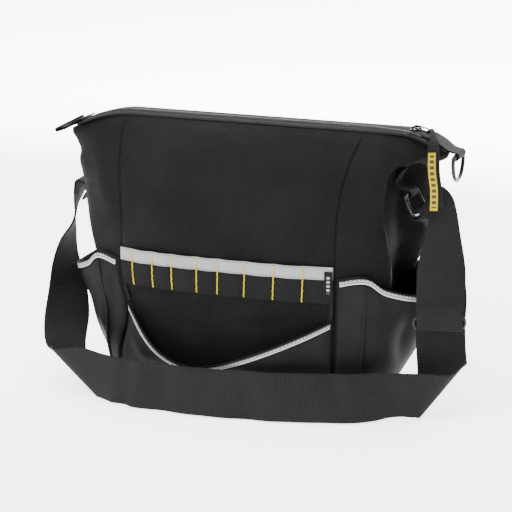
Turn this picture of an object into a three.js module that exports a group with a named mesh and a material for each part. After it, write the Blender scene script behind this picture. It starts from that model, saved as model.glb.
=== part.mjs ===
// Insulated lunch bag with open front and side pockets, a band of tool loops, a zip along the ridge and a
// shoulder strap lying loose in front of it. Millimetres, +Z up; the origin is the centre of the base's
// underside, +X runs to the bag's right end and -Y faces the front pocket.
import * as THREE from 'three';

// Driving dimensions of the body
const BAG_WIDTH = 400;
const BAG_DEPTH = 170;
const BAG_HEIGHT = 285;
const GUSSET_FOLD = 30;
const PANEL_WALL = 4.5;
const GUSSET_WALL = 3;
const BASE_WALL = 4;
const SEAM_GAP = 0.4;
const TOUCH_GAP = 0.35;

// Driving dimensions of the pockets and their trims
const POCKET_WALL = 1.8;
const POCKET_CLEARANCE = 1.4;
const FRONT_GAPE = 34;
const SIDE_GAPE = 27;
const BINDING_TALL = 8;
const BINDING_THICK = 3;
const STRIPE_TALL = 5;
const STRIPE_DROP = 2;
const TAPE_THICK = 0.7;

// Driving dimensions of the tool loops
const LOOP_BULGE = 2.4;
const LOOP_BAND_TALL = 38;
const LOOP_BAND_LOW = 117;
const LOOP_WEB_THICK = 1.5;
const TAPE_TALL = 13;
const WOVEN_LABEL = { wide: 8, tall: 26, thick: 0.8 };

// Driving dimensions of the zip
const ZIP_HALF = 20;
const ZIP_TAPE_THICK = 1.2;
const ZIP_COIL_WIDE = 5.4;
const ZIP_COIL_THICK = 2.4;
const SLIDER = { long: 15, wide: 8, plate: 1.6, bail: 5.4, wire: 1.6 };
const PULLER = { long: 15, wide: 12, wire: 1.7 };
const PULL_RIBBON = { wide: 12, thick: 1.3 };
const PULL_LABEL = { wide: 8.5, thick: 1.4, gap: 0.8 };

// Driving dimensions of the end tabs, the rings and the strap
const TAB_WIDE = 34;
const TAB_THICK = 1.7;
const END_RING = { wide: 38, tall: 26, wire: 4, clearance: 0.9 };
const SIDE_RING = { wide: 42, tall: 22, wire: 4, clearance: 1.2 };
const RING_TAB_WIDE = 22;
const RING_TAB_THICK = 1.8;
const STRAP_WIDE = 50;
const STRAP_THICK = 1.8;
const STRAP_SLIDER = { wide: 51, tall: 9, wire: 3.2, clearance: 1, corner: 2.5 };
const STRAP_HEM = 27;
const FLOOR_GAP = 0.9;

const HALF_WIDTH = BAG_WIDTH / 2;
const HALF_DEPTH = BAG_DEPTH / 2;

// Sections of the body by height. Heights are shares of BAG_HEIGHT, left, right, seamLeft, seamRight shares
// of HALF_WIDTH, front, back, atLeft and atRight (where the gussets fold) shares of HALF_DEPTH, fold a share
// of GUSSET_FOLD; corner is the exponent that squares the section's corners.
const SECTIONS = [
  { height: 0.002, left: 0.690, right: 0.650, front: 0.71, back: 0.70, corner: 3.4,
    fold: 0.00, atLeft: 0.00, atRight: 0.00, seamLeft: 0.610, seamRight: 0.525 },
  { height: 0.020, left: 0.712, right: 0.680, front: 0.80, back: 0.78, corner: 3.4,
    fold: 0.05, atLeft: 0.05, atRight: 0.05, seamLeft: 0.630, seamRight: 0.530 },
  { height: 0.060, left: 0.738, right: 0.715, front: 0.88, back: 0.84, corner: 3.4,
    fold: 0.15, atLeft: 0.10, atRight: 0.10, seamLeft: 0.640, seamRight: 0.535 },
  { height: 0.150, left: 0.768, right: 0.765, front: 0.94, back: 0.88, corner: 3.4,
    fold: 0.35, atLeft: 0.15, atRight: 0.15, seamLeft: 0.625, seamRight: 0.540 },
  { height: 0.300, left: 0.812, right: 0.810, front: 0.97, back: 0.90, corner: 3.3,
    fold: 0.60, atLeft: 0.15, atRight: 0.15, seamLeft: 0.565, seamRight: 0.545 },
  { height: 0.450, left: 0.835, right: 0.830, front: 0.99, back: 0.90, corner: 3.2,
    fold: 0.80, atLeft: 0.15, atRight: 0.00, seamLeft: 0.605, seamRight: 0.550 },
  { height: 0.600, left: 0.880, right: 0.895, front: 0.97, back: 0.88, corner: 2.9,
    fold: 0.95, atLeft: 0.12, atRight: -0.12, seamLeft: 0.615, seamRight: 0.550 },
  { height: 0.720, left: 0.930, right: 0.910, front: 0.90, back: 0.82, corner: 2.6,
    fold: 1.10, atLeft: 0.12, atRight: -0.14, seamLeft: 0.635, seamRight: 0.550 },
  { height: 0.820, left: 0.975, right: 0.930, front: 0.75, back: 0.70, corner: 2.4,
    fold: 1.10, atLeft: 0.12, atRight: -0.12, seamLeft: 0.660, seamRight: 0.558 },
  { height: 0.870, left: 0.980, right: 0.940, front: 0.65, back: 0.62, corner: 2.3,
    fold: 0.85, atLeft: 0.12, atRight: -0.08, seamLeft: 0.668, seamRight: 0.570 },
  { height: 0.910, left: 1.002, right: 1.000, front: 0.54, back: 0.52, corner: 2.3,
    fold: 0.45, atLeft: 0.08, atRight: -0.04, seamLeft: 0.675, seamRight: 0.582 },
  { height: 0.960, left: 1.036, right: 1.032, front: 0.38, back: 0.37, corner: 2.4,
    fold: 0.15, atLeft: 0.04, atRight: 0.00, seamLeft: 0.680, seamRight: 0.605 },
  { height: 0.984, left: 1.040, right: 1.032, front: 0.27, back: 0.27, corner: 2.8,
    fold: 0.05, atLeft: 0.00, atRight: 0.00, seamLeft: 0.682, seamRight: 0.612 },
];
const FOLD_REACH = { left: 0.46, right: 0.56 };
const FOLD_FLOOR = 0.48;
const TOP_SHARE = SECTIONS[SECTIONS.length - 1].height;

// The ridge falls away towards its ends: start is where the fall begins and end where it reaches drop
const RIDGE_FALL = {
  left: { start: 0.70, end: 1.02, drop: 0.070 },
  right: { start: 0.80, end: 1.11, drop: 0.105 },
};
const RIDGE_EASE = 1.6;
const FALL_FROM = 0.72;

const clamp = (value, low, high) => Math.min(Math.max(value, low), high);
const lerp = (a, b, t) => a + (b - a) * t;
const smooth = (t) => t * t * (3 - 2 * t);
const steps = (count, low, high) => Array.from({ length: count + 1 }, (_, i) => lerp(low, high, i / count));
const vec = (x, y, z) => new THREE.Vector3(x, y, z);

// Value of one column of a table at a place between its rows, on a smooth curve through the rows
function track(rows, column, place, at) {
  const last = rows.length - 1;
  let i = 0;
  while (i < last - 1 && rows[i + 1][place] < at) i += 1;
  const slope = (k) => {
    const before = rows[Math.max(k - 1, 0)];
    const after = rows[Math.min(k + 1, last)];
    return (after[column] - before[column]) / (after[place] - before[place]);
  };
  const span = rows[i + 1][place] - rows[i][place];
  const t = clamp((at - rows[i][place]) / span, 0, 1);
  const near = rows[i][column] * (1 - smooth(t)) + slope(i) * span * t * (1 - t) ** 2;
  const far = rows[i + 1][column] * smooth(t) - slope(i + 1) * span * t ** 2 * (1 - t);
  return near + far;
}

// One horizontal section of the body, its lengths in millimetres
function sectionAt(z) {
  const at = (column) => track(SECTIONS, column, 'height', z / BAG_HEIGHT);
  return {
    left: at('left') * HALF_WIDTH,
    right: at('right') * HALF_WIDTH,
    front: at('front') * HALF_DEPTH,
    back: at('back') * HALF_DEPTH,
    corner: at('corner'),
    fold: at('fold') * GUSSET_FOLD,
    atLeft: at('atLeft') * HALF_DEPTH,
    atRight: at('atRight') * HALF_DEPTH,
    seamLeft: at('seamLeft') * HALF_WIDTH,
    seamRight: at('seamRight') * HALF_WIDTH,
  };
}

// How far the ridge has fallen at x, and the point moved down by it where it is high on the bag
function ridgeFall(x) {
  const side = x < 0 ? RIDGE_FALL.left : RIDGE_FALL.right;
  const t = Math.max((Math.abs(x) / HALF_WIDTH - side.start) / (side.end - side.start), 0);
  return side.drop * BAG_HEIGHT * t ** RIDGE_EASE;
}

function settle(point) {
  const share = clamp((point.z / BAG_HEIGHT - FALL_FROM) / (TOP_SHARE - FALL_FROM), 0, 1);
  point.z -= ridgeFall(point.x) * smooth(share);
  return point;
}

// Point of the body's outline at height z in the direction angle (0 is +X, a quarter turn is +Y), with the
// outline grown by grow; the gusset's fold is pressed in only where folded is true
function outline(z, angle, grow, folded) {
  const s = sectionAt(z);
  const c = Math.cos(angle);
  const n = Math.sin(angle);
  const wide = (c < 0 ? s.left : s.right) + grow;
  const deep = (n < 0 ? s.front : s.back) + grow;
  const reach = 1 / (Math.abs(c / wide) ** s.corner + Math.abs(n / deep) ** s.corner) ** (1 / s.corner);
  const point = vec(reach * c, reach * n, z);
  if (folded) {
    const toLeft = c < 0;
    const span = (toLeft ? FOLD_REACH.left : FOLD_REACH.right) * deep;
    const away = Math.abs(point.y - (toLeft ? s.atLeft : s.atRight)) / span;
    const press = smooth(clamp((1 - away) / (1 - FOLD_FLOOR), 0, 1));
    point.x -= Math.sign(c) * s.fold * press;
  }
  return settle(point);
}

// Direction angle of a seam: side is 1 at the right and -1 at the left, face -1 at the front, 1 at the back
function seamAngle(z, side, face) {
  const s = sectionAt(z);
  const seam = side > 0 ? s.seamRight : s.seamLeft;
  const wide = side > 0 ? s.right : s.left;
  const deep = (face < 0 ? s.front : s.back) * (1 - (seam / wide) ** s.corner) ** (1 / s.corner);
  return Math.atan2(face * deep, side * seam);
}

// Point of the front or back between its seams: across runs from -1 at the left seam to 1 at the right one
function facePoint(face, across, z, grow) {
  const s = sectionAt(z);
  const x = across * (across < 0 ? s.seamLeft : s.seamRight);
  const wide = (across < 0 ? s.left : s.right) + grow;
  const deep = (face < 0 ? s.front : s.back) + grow;
  const y = face * deep * (1 - Math.abs(x / wide) ** s.corner) ** (1 / s.corner);
  return settle(vec(x, y, z));
}

// Point of a side between its seams: round runs from -1 at the front seam to 1 at the back one
function sidePoint(side, round, z, grow, folded) {
  const front = seamAngle(z, side, -1);
  const back = seamAngle(z, side, 1);
  const fromFront = side > 0 ? front : -Math.PI - front;
  const toBack = side > 0 ? back : Math.PI - back;
  const angle = round < 0 ? -round * fromFront : round * toBack;
  return outline(z, side > 0 ? angle : Math.PI - angle, grow, folded);
}

// Closed solid between two grids of points that lie a wall apart
function solidBetween(outer, inner) {
  const rows = outer.length;
  const columns = outer[0].length;
  const points = [outer, inner].flat(2).flatMap((p) => [p.x, p.y, p.z]);
  const faces = [];
  const at = (layer, r, c) => (layer * rows + r) * columns + c;
  const quad = (a, b, c, d) => faces.push(a, b, c, a, c, d);
  for (let r = 0; r < rows - 1; r += 1) {
    for (let c = 0; c < columns - 1; c += 1) {
      quad(at(0, r, c), at(0, r, c + 1), at(0, r + 1, c + 1), at(0, r + 1, c));
      quad(at(1, r, c), at(1, r + 1, c), at(1, r + 1, c + 1), at(1, r, c + 1));
    }
    const end = columns - 1;
    quad(at(0, r + 1, 0), at(1, r + 1, 0), at(1, r, 0), at(0, r, 0));
    quad(at(0, r, end), at(1, r, end), at(1, r + 1, end), at(0, r + 1, end));
  }
  for (let c = 0; c < columns - 1; c += 1) {
    const top = rows - 1;
    quad(at(0, 0, c), at(1, 0, c), at(1, 0, c + 1), at(0, 0, c + 1));
    quad(at(0, top, c + 1), at(1, top, c + 1), at(1, top, c), at(0, top, c));
  }
  return facingOut(points, faces);
}

// Indexed geometry whose faces point outwards
function facingOut(points, faces) {
  const corner = (i) => vec(points[3 * i], points[3 * i + 1], points[3 * i + 2]);
  let volume = 0;
  for (let i = 0; i < faces.length; i += 3) {
    volume += corner(faces[i]).dot(corner(faces[i + 1]).cross(corner(faces[i + 2])));
  }
  const turned = volume < 0 ? faces.slice().reverse() : faces;
  const geometry = new THREE.BufferGeometry();
  geometry.setAttribute('position', new THREE.Float32BufferAttribute(points, 3));
  geometry.setIndex(turned);
  geometry.computeVertexNormals();
  return geometry;
}

// Grid of a surface over rows and columns, and the same grid moved in by a wall along its normals
function patch(surface, rows, columns) {
  return rows.map((r) => columns.map((c) => surface(r, c)));
}

function movedIn(surface, rows, columns, wall, inward) {
  const small = 0.001;
  const derivative = (r, c, dr, dc) => surface(r + dr, c + dc).sub(surface(r - dr, c - dc));
  return rows.map((r) => columns.map((c) => {
    const up = derivative(r, c, small, 0);
    const along = derivative(r, c, 0, small);
    const normal = up.cross(along).normalize().multiplyScalar(inward * wall);
    return surface(r, c).add(normal);
  }));
}

// Padded wall of the body: surface takes a height share and a place across, side turns the wall inwards
function bodyWall(surface, heights, across, wall, inward) {
  return solidBetween(patch(surface, heights, across), movedIn(surface, heights, across, wall, inward));
}

const WALL_HEIGHTS = [
  0.003, 0.02, 0.045, 0.09, 0.16, 0.28, 0.42, 0.55, 0.66, 0.75, 0.82, 0.87, 0.91, 0.95, TOP_SHARE,
];

function facePanel(face) {
  const trim = 1 - SEAM_GAP / BAG_WIDTH;
  const surface = (share, across) => facePoint(face, across, share * BAG_HEIGHT, 0);
  return bodyWall(surface, WALL_HEIGHTS, steps(12, -trim, trim), PANEL_WALL, -face);
}

function gusset(side) {
  const trim = 1 - SEAM_GAP / BAG_DEPTH;
  const surface = (share, round) => sidePoint(side, round, share * BAG_HEIGHT, 0, true);
  return bodyWall(surface, WALL_HEIGHTS, steps(18, -trim, trim), GUSSET_WALL, side);
}

// Flat base that fits inside the lower edges of the walls: two rings of points, closed top and bottom
function basePanel() {
  const count = 44;
  const points = [0, 0, 0, 0, 0, BASE_WALL];
  const faces = [];
  for (let i = 0; i < count; i += 1) {
    const angle = (2 * Math.PI * i) / count;
    const low = outline(0, angle, -SEAM_GAP - TOUCH_GAP, false);
    const high = outline(0, angle, -SEAM_GAP - BASE_WALL, false);
    points.push(low.x, low.y, 0, high.x, high.y, BASE_WALL);
    const a = 2 + 2 * i;
    const b = 2 + 2 * ((i + 1) % count);
    faces.push(0, b, a, 1, a + 1, b + 1, a, b, b + 1, a, b + 1, a + 1);
  }
  return facingOut(points, faces);
}

// Side pocket's hem: round runs from -1 at the front seam to 1 at the back one, height is a share of
// BAG_HEIGHT. It drops just past the front corner and sags in the middle.
const SIDE_HEM = [
  { round: -1.00, height: 0.500 },
  { round: -0.78, height: 0.512 },
  { round: -0.64, height: 0.470 },
  { round: -0.30, height: 0.430 },
  { round: 0.10, height: 0.420 },
  { round: 0.60, height: 0.458 },
  { round: 1.00, height: 0.505 },
];
const SIDE_PLACES = [
  -0.985, -0.9, -0.81, -0.75, -0.70, -0.64, -0.55, -0.42, -0.25, 0, 0.2, 0.4, 0.6, 0.75, 0.88, 0.985,
];

// Front pocket: the hem sags between the seams and gapes forward; reach runs from 0 at the base to 1 at
// the hem
const FRONT_HEM = {
  left: 0.350, right: 0.350, low: 0.165, lowAt: -0.22, easeLeft: 1.9, easeRight: 1.25,
};
const POCKET_LOW = 0.004;

function frontHem(across) {
  const { left, right, low, lowAt, easeLeft, easeRight } = FRONT_HEM;
  const toLeft = across < lowAt;
  const away = toLeft ? (lowAt - across) / (1 + lowAt) : (across - lowAt) / (1 - lowAt);
  const lift = away ** (toLeft ? easeLeft : easeRight);
  return lerp(low, toLeft ? left : right, lift) * BAG_HEIGHT;
}

function frontPocketPoint(across, z, out) {
  const reach = clamp(z / frontHem(across), 0, 1);
  const gape = FRONT_GAPE * (1 - across ** 2) ** 0.8 * reach ** 1.4;
  return facePoint(-1, across, z, 0).add(vec(0, -POCKET_CLEARANCE - gape - out, 0));
}

function sideHem(round) {
  return track(SIDE_HEM, 'height', 'round', round) * BAG_HEIGHT;
}

function sidePocketPoint(side, round, z, out) {
  const reach = clamp(z / sideHem(round), 0, 1);
  const gape = SIDE_GAPE * Math.cos((Math.PI / 2) * round) ** 2 * reach;
  return sidePoint(side, round, z, POCKET_CLEARANCE + gape + out, false);
}

// A pocket's three layers: the sheet, the binding above it and the stripe on the binding's face
const SHEET_ROWS = [0, 0.05, 0.14, 0.32, 0.54, 0.76, 1];

function pocketLayers(point, hem, places) {
  const layer = (low, high, inside, outside, rows) => {
    const grid = (out) => rows.map((t) => places.map((p) => point(p, lerp(low(p), high(p), t), out)));
    return solidBetween(grid(outside), grid(inside));
  };
  const foot = () => POCKET_LOW * BAG_HEIGHT;
  const bindingLow = (p) => hem(p) - BINDING_TALL;
  const proud = (BINDING_THICK - POCKET_WALL) / 2;
  const face = POCKET_WALL + proud;
  return {
    sheet: layer(foot, (p) => bindingLow(p) - TOUCH_GAP, 0, POCKET_WALL, SHEET_ROWS),
    binding: layer(bindingLow, hem, -proud, face, [0, 1]),
    stripe: layer(
      (p) => hem(p) - STRIPE_DROP - STRIPE_TALL,
      (p) => hem(p) - STRIPE_DROP,
      face + TOUCH_GAP,
      face + TOUCH_GAP + TAPE_THICK,
      [0, 1],
    ),
  };
}

const frontPocket = pocketLayers(frontPocketPoint, frontHem, steps(18, -0.985, 0.985));
const sidePocket = (side) => pocketLayers(
  (round, z, out) => sidePocketPoint(side, round, z, out),
  sideHem,
  SIDE_PLACES,
);

// Tool loops: webbing sewn down on LOOP_LINES, shares of the way across the band, each loop between two
// lines standing proud of the front panel
const LOOP_LINES = [0.063, 0.163, 0.258, 0.377, 0.475, 0.601, 0.736, 0.869];

function loopOut(x, left, right) {
  const lines = LOOP_LINES.map((share) => lerp(left, right, share));
  const after = lines.findIndex((line) => line > x);
  if (after < 1) return 0;
  const place = (x - lines[after - 1]) / (lines[after] - lines[after - 1]);
  return LOOP_BULGE * Math.sin(Math.PI * place) ** 0.8;
}

function bandPlaces(left, right) {
  const inLoop = [0, 0.14, 0.36, 0.64, 0.86];
  const loops = LOOP_LINES.slice(1).map((next, i) => inLoop.map((t) => lerp(LOOP_LINES[i], next, t)));
  return [0, ...loops.flat(), LOOP_LINES[LOOP_LINES.length - 1], 1].map((share) => lerp(left, right, share));
}

function loopBand(low, high, inside, outside) {
  const s = sectionAt(LOOP_BAND_LOW);
  const edge = SEAM_GAP + TOUCH_GAP;
  const left = -s.seamLeft + edge;
  const right = s.seamRight - edge;
  const grid = (out) => [low, high].map((z) => bandPlaces(left, right).map((x) => {
    const across = x / (x < 0 ? s.seamLeft : s.seamRight);
    return facePoint(-1, across, z, 0).add(vec(0, -out - loopOut(x, left, right), 0));
  }));
  return solidBetween(grid(outside), grid(inside));
}

const LOOP_BAND_OFF = 0.8;
const TAPE_OFF = LOOP_BAND_OFF + LOOP_WEB_THICK + TOUCH_GAP;

function toolLoopWebbing() {
  const high = LOOP_BAND_LOW + LOOP_BAND_TALL;
  return loopBand(LOOP_BAND_LOW, high, LOOP_BAND_OFF, LOOP_BAND_OFF + LOOP_WEB_THICK);
}

function reflectiveTape() {
  const high = LOOP_BAND_LOW + LOOP_BAND_TALL;
  return loopBand(high - TAPE_TALL, high, TAPE_OFF, TAPE_OFF + TAPE_THICK);
}

function wovenLabel() {
  const s = sectionAt(LOOP_BAND_LOW);
  const top = LOOP_BAND_LOW + LOOP_BAND_TALL - TAPE_TALL + WOVEN_LABEL.tall / 3;
  const right = s.seamRight - SEAM_GAP - TOUCH_GAP;
  const off = TAPE_OFF + TAPE_THICK + TOUCH_GAP;
  const places = [right - WOVEN_LABEL.wide, right];
  const grid = (out) => [top - WOVEN_LABEL.tall, top].map((z) => places.map((x) => (
    facePoint(-1, x / s.seamRight, z, 0).add(vec(0, -out, 0))
  )));
  return solidBetween(grid(off + WOVEN_LABEL.thick), grid(off));
}

// Zip along the ridge: two tapes and the coil between them, all crowned a little across
const ZIP_ENDS = { left: -0.965, right: 0.985 };
const COIL_ENDS = { left: -0.90, right: 0.89 };
const ZIP_CROWN = 2.2;
const ZIP_DRIFT = { start: 0.55, end: 0.88, shift: 0.5 };

// The coil's line turns towards the front at the right end
function coilLine(x) {
  const t = clamp((x / HALF_WIDTH - ZIP_DRIFT.start) / (ZIP_DRIFT.end - ZIP_DRIFT.start), 0, 1);
  return -ZIP_DRIFT.shift * ZIP_HALF * smooth(t);
}

function ridgeTop(x, y) {
  const seat = TOP_SHARE * BAG_HEIGHT + TOUCH_GAP;
  return seat + ZIP_CROWN * (1 - (y / ZIP_HALF) ** 2) - ridgeFall(x);
}

function zipStrip(ends, near, far, lift, thick) {
  const lengths = steps(22, ends.left * HALF_WIDTH, ends.right * HALF_WIDTH);
  const grid = (raise) => lengths.map((x) => steps(2, near(x), far(x)).map((y) => (
    vec(x, y, ridgeTop(x, y) + raise)
  )));
  return solidBetween(grid(lift + thick), grid(lift));
}

const COIL_HALF = ZIP_COIL_WIDE / 2;
const COIL_LIFT = (ZIP_TAPE_THICK - ZIP_COIL_THICK) / 2;
const zipTape = (face) => zipStrip(
  ZIP_ENDS,
  (x) => coilLine(x) + face * (COIL_HALF + TOUCH_GAP),
  () => face * ZIP_HALF,
  0,
  ZIP_TAPE_THICK,
);
const zipCoil = () => zipStrip(
  COIL_ENDS,
  (x) => coilLine(x) - COIL_HALF,
  (x) => coilLine(x) + COIL_HALF,
  COIL_LIFT,
  ZIP_COIL_THICK,
);

// Closed loop of round wire through points
function wireLoop(points, wire, segments, sides) {
  const path = new THREE.CatmullRomCurve3(points, true, 'centripetal');
  const tube = new THREE.TubeGeometry(path, segments, wire / 2, sides, true);
  const ring = sides + 1;
  const place = tube.getAttribute('position');
  const merged = [];
  for (let i = 0; i < segments; i += 1) {
    for (let k = 0; k < sides; k += 1) {
      merged.push(...vec().fromBufferAttribute(place, i * ring + k).toArray());
    }
  }
  const faces = [];
  for (let i = 0; i < segments; i += 1) {
    for (let k = 0; k < sides; k += 1) {
      const next = (i + 1) % segments;
      const a = i * sides + k;
      const b = next * sides + k;
      const c = next * sides + ((k + 1) % sides);
      const d = i * sides + ((k + 1) % sides);
      faces.push(a, b, c, a, c, d);
    }
  }
  return facingOut(merged, faces);
}

// Points round a rectangle with round corners, in a frame given by its centre and two directions
function roundedLoop(centre, along, across, long, wide, radius) {
  const points = [];
  const turns = [[1, 1, 0], [-1, 1, 1], [-1, -1, 2], [1, -1, 3]];
  for (const [sx, sy, quarter] of turns) {
    for (const t of [0, 0.5, 1]) {
      const angle = (quarter + t) * (Math.PI / 2);
      const a = sx * (long / 2 - radius) + radius * Math.cos(angle);
      const b = sy * (wide / 2 - radius) + radius * Math.sin(angle);
      points.push(centre.clone().addScaledVector(along, a).addScaledVector(across, b));
    }
  }
  return points;
}

// Side rings hang from the gussets: their bars run front to back and they lean out at the foot
const RING_AT = {
  left: { x: 0.925, y: 0.12, z: 0.720 },
  right: { x: 0.865, y: -0.12, z: 0.742 },
};
const RING_LEAN = 0.43;
const RING_CORNER = 5;
const TAB_SEAT = 2.2;

function sideRing(side) {
  const at = side > 0 ? RING_AT.right : RING_AT.left;
  const centre = vec(side * at.x * HALF_WIDTH, at.y * HALF_DEPTH, at.z * BAG_HEIGHT);
  const down = vec(side * Math.sin(RING_LEAN), 0, -Math.cos(RING_LEAN));
  const across = vec(0, 1, 0);
  return {
    centre,
    topBar: centre.clone().addScaledVector(down, -SIDE_RING.tall / 2),
    lowBar: centre.clone().addScaledVector(down, SIDE_RING.tall / 2),
    points: roundedLoop(centre, down, across, SIDE_RING.tall, SIDE_RING.wide, RING_CORNER),
  };
}

const rings = { left: sideRing(-1), right: sideRing(1) };

// Flat webbing along stations: each station has its centre, the direction across and how wide it is there
function webbing(stations, thick, columns) {
  const centres = new THREE.CatmullRomCurve3(stations.map((s) => s.centre), false, 'centripetal');
  const spreads = new THREE.CatmullRomCurve3(
    stations.map((s) => s.across.clone().normalize().multiplyScalar(s.wide / 2)),
    false,
    'catmullrom',
    0.5,
  );
  const count = stations.length - 1;
  const fine = stations.flatMap((s, i) => {
    if (i === count) return [1];
    return Array.from({ length: s.fine ?? 2 }, (_, k) => (i + k / (s.fine ?? 2)) / count);
  });
  const middle = fine.map((t) => columns.map((c) => (
    centres.getPoint(t).addScaledVector(spreads.getPoint(t), c)
  )));
  const side = (r) => middle[r][columns.length - 1].clone().sub(middle[r][0]);
  const normals = middle.map((row, r) => row.map((point, c) => {
    const before = middle[Math.max(r - 1, 0)][c];
    const after = middle[Math.min(r + 1, middle.length - 1)][c];
    return after.clone().sub(before).cross(side(r)).normalize();
  }));
  const offset = (sign) => middle.map((row, r) => row.map((point, c) => (
    point.clone().addScaledVector(normals[r][c], (sign * thick) / 2)
  )));
  return solidBetween(offset(1), offset(-1));
}

// Stations that wrap round a bar: angle 0 lies in the direction out and a quarter turn straight above
function wrap(bar, radius, from, to, count, across, wide, out = vec(1, 0, 0)) {
  const up = vec(0, 0, 1);
  return steps(count, from, to).map((angle) => {
    const level = bar.clone().addScaledVector(out, radius * Math.cos(angle));
    return { centre: level.addScaledVector(up, radius * Math.sin(angle)), across, wide, fine: 1 };
  });
}

// Distance of the folded gusset from the middle of the bag at the place y and height z
function gussetFloor(side, y, z) {
  let level = z;
  let point = vec(0, 0, 0);
  for (let i = 0; i < 4; i += 1) {
    const s = sectionAt(level);
    const deep = y < 0 ? s.front : s.back;
    const wide = side > 0 ? s.right : s.left;
    const x = wide * (1 - Math.abs(y / deep) ** s.corner) ** (1 / s.corner);
    point = outline(level, Math.atan2(y, side * x), 0, true);
    level += z - point.z;
  }
  return Math.abs(point.x);
}

// Tab of the ring: it lies on the gusset's pressed-in floor, leaves it and folds round the ring's top bar.
// Its stations on the gusset stand at RING_TAB_RISES above that bar.
const RING_TAB_RISES = [24, 17, 10];

function ringTab(side) {
  const ring = side > 0 ? rings.right : rings.left;
  const radius = SIDE_RING.wire / 2 + SIDE_RING.clearance + RING_TAB_THICK / 2;
  const onWall = (z) => {
    const half = RING_TAB_WIDE / 2;
    const floors = steps(4, -half, half).map((off) => gussetFloor(side, ring.centre.y + off, z));
    return vec(side * (Math.max(...floors) + TAB_SEAT + RING_TAB_THICK / 2), ring.centre.y, z);
  };
  const across = vec(0, 1, 0);
  const top = ring.topBar;
  const turn = (angle) => (side > 0 ? angle : Math.PI - angle);
  const stations = [
    ...RING_TAB_RISES.map((rise) => ({ centre: onWall(top.z + rise), across, wide: RING_TAB_WIDE, fine: 1 })),
    ...wrap(top, radius, turn(Math.PI * 0.62), turn(-Math.PI * 0.62), 6, across, RING_TAB_WIDE),
  ];
  return webbing(stations, RING_TAB_THICK, [-1, 0, 1]);
}

// Route of the shoulder strap. x is a share of HALF_WIDTH and y of HALF_DEPTH; low is the height of the
// strap's lower edge as a share of BAG_HEIGHT; ax, ay, az point across it and wide is a share of STRAP_WIDE,
// more than one where a fold crosses it slantwise.
const STRAP_LEFT = [
  { x: -1.000, y: 0.12, low: 0.712, ax: 0, ay: -1, az: 0, wide: 0.78 },
  { x: -1.010, y: 0.10, low: 0.690, ax: 0.05, ay: -1, az: 0, wide: 0.84 },
  { x: -1.020, y: 0.07, low: 0.640, ax: 0.20, ay: -1, az: 0, wide: 0.92 },
  { x: -1.035, y: 0.02, low: 0.575, ax: 0.38, ay: -0.93, az: 0, wide: 1 },
  { x: -1.060, y: -0.07, low: 0.500, ax: 0.09, ay: -1, az: 0, wide: 1 },
  { x: -1.060, y: -0.17, low: 0.420, ax: -0.14, ay: -0.99, az: 0, wide: 1 },
  { x: -1.036, y: -0.25, low: 0.330, ax: -0.45, ay: -0.89, az: 0, wide: 1 },
  { x: -0.998, y: -0.48, low: 0.225, ax: -0.74, ay: -0.67, az: 0, wide: 1 },
  { x: -0.955, y: -0.77, low: 0.130, ax: -0.95, ay: -0.05, az: 0.14, wide: 0.94 },
  { x: -0.895, y: -0.93, low: 0.045, ax: -0.86, ay: 0.02, az: 0.42, wide: 1.18 },
  { x: -0.855, y: -1.02, low: 0.006, ax: -0.79, ay: 0.10, az: 0.58, wide: 1.36, fine: 4 },
  { x: -0.815, y: -1.17, low: 0.001, ax: -0.76, ay: 0.08, az: 0.64, wide: 1.36, fine: 4 },
  { x: -0.730, y: -1.29, low: 0.001, ax: -0.40, ay: 0.03, az: 0.90, wide: 1.12 },
];
const STRAP_FLOOR = [
  { x: -0.600, y: -1.38, low: 0.001, ax: -0.08, ay: 0, az: 1, wide: 1 },
  { x: -0.440, y: -1.47, low: 0.001, ax: 0, ay: 0, az: 1, wide: 1 },
  { x: -0.300, y: -1.50, low: 0.001, ax: 0, ay: 0.02, az: 1, wide: 1 },
  { x: -0.120, y: -1.50, low: 0.001, ax: 0, ay: 0.04, az: 1, wide: 1 },
  { x: 0.080, y: -1.46, low: 0.001, ax: 0, ay: 0.08, az: 1, wide: 1 },
  { x: 0.300, y: -1.38, low: 0.001, ax: 0, ay: 0.12, az: 1, wide: 1 },
  { x: 0.500, y: -1.26, low: 0.001, ax: 0, ay: 0.16, az: 1, wide: 1 },
  { x: 0.670, y: -1.13, low: 0.001, ax: 0, ay: 0.18, az: 1, wide: 1 },
  { x: 0.780, y: -0.98, low: 0.001, ax: 0.06, ay: 0.12, az: 1, wide: 1 },
  { x: 0.858, y: -0.84, low: 0.001, ax: 0.20, ay: -0.06, az: 1, wide: 1 },
];
const STRAP_RIGHT = [
  { x: 0.955, y: -0.76, low: 0.001, ax: 0.46, ay: -0.08, az: 0.88, wide: 1.12 },
  { x: 1.045, y: -0.72, low: 0.001, ax: 0.60, ay: -0.04, az: 0.80, wide: 1.26, fine: 4 },
  { x: 1.082, y: -0.62, low: 0.002, ax: 0.60, ay: 0.06, az: 0.80, wide: 1.46, fine: 4 },
  { x: 1.076, y: -0.54, low: 0.070, ax: 0.78, ay: 0.12, az: 0.60, wide: 1.22, fine: 3 },
  { x: 1.064, y: -0.470, low: 0.150, ax: 0.93, ay: 0.20, az: 0.32, wide: 1.04 },
  { x: 1.052, y: -0.430, low: 0.240, ax: 0.95, ay: 0.31, az: 0, wide: 1 },
  { x: 1.046, y: -0.430, low: 0.330, ax: 0.94, ay: 0.34, az: 0, wide: 1 },
  { x: 1.050, y: -0.420, low: 0.430, ax: 0.91, ay: 0.38, az: 0, wide: 1 },
  { x: 1.022, y: -0.310, low: 0.530, ax: 0.74, ay: 0.64, az: 0, wide: 1 },
  { x: 0.992, y: -0.200, low: 0.620, ax: 0.38, ay: 0.92, az: 0, wide: 0.90 },
  { x: 0.948, y: -0.140, low: 0.685, ax: 0.08, ay: 1, az: 0, wide: 0.80 },
];
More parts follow.
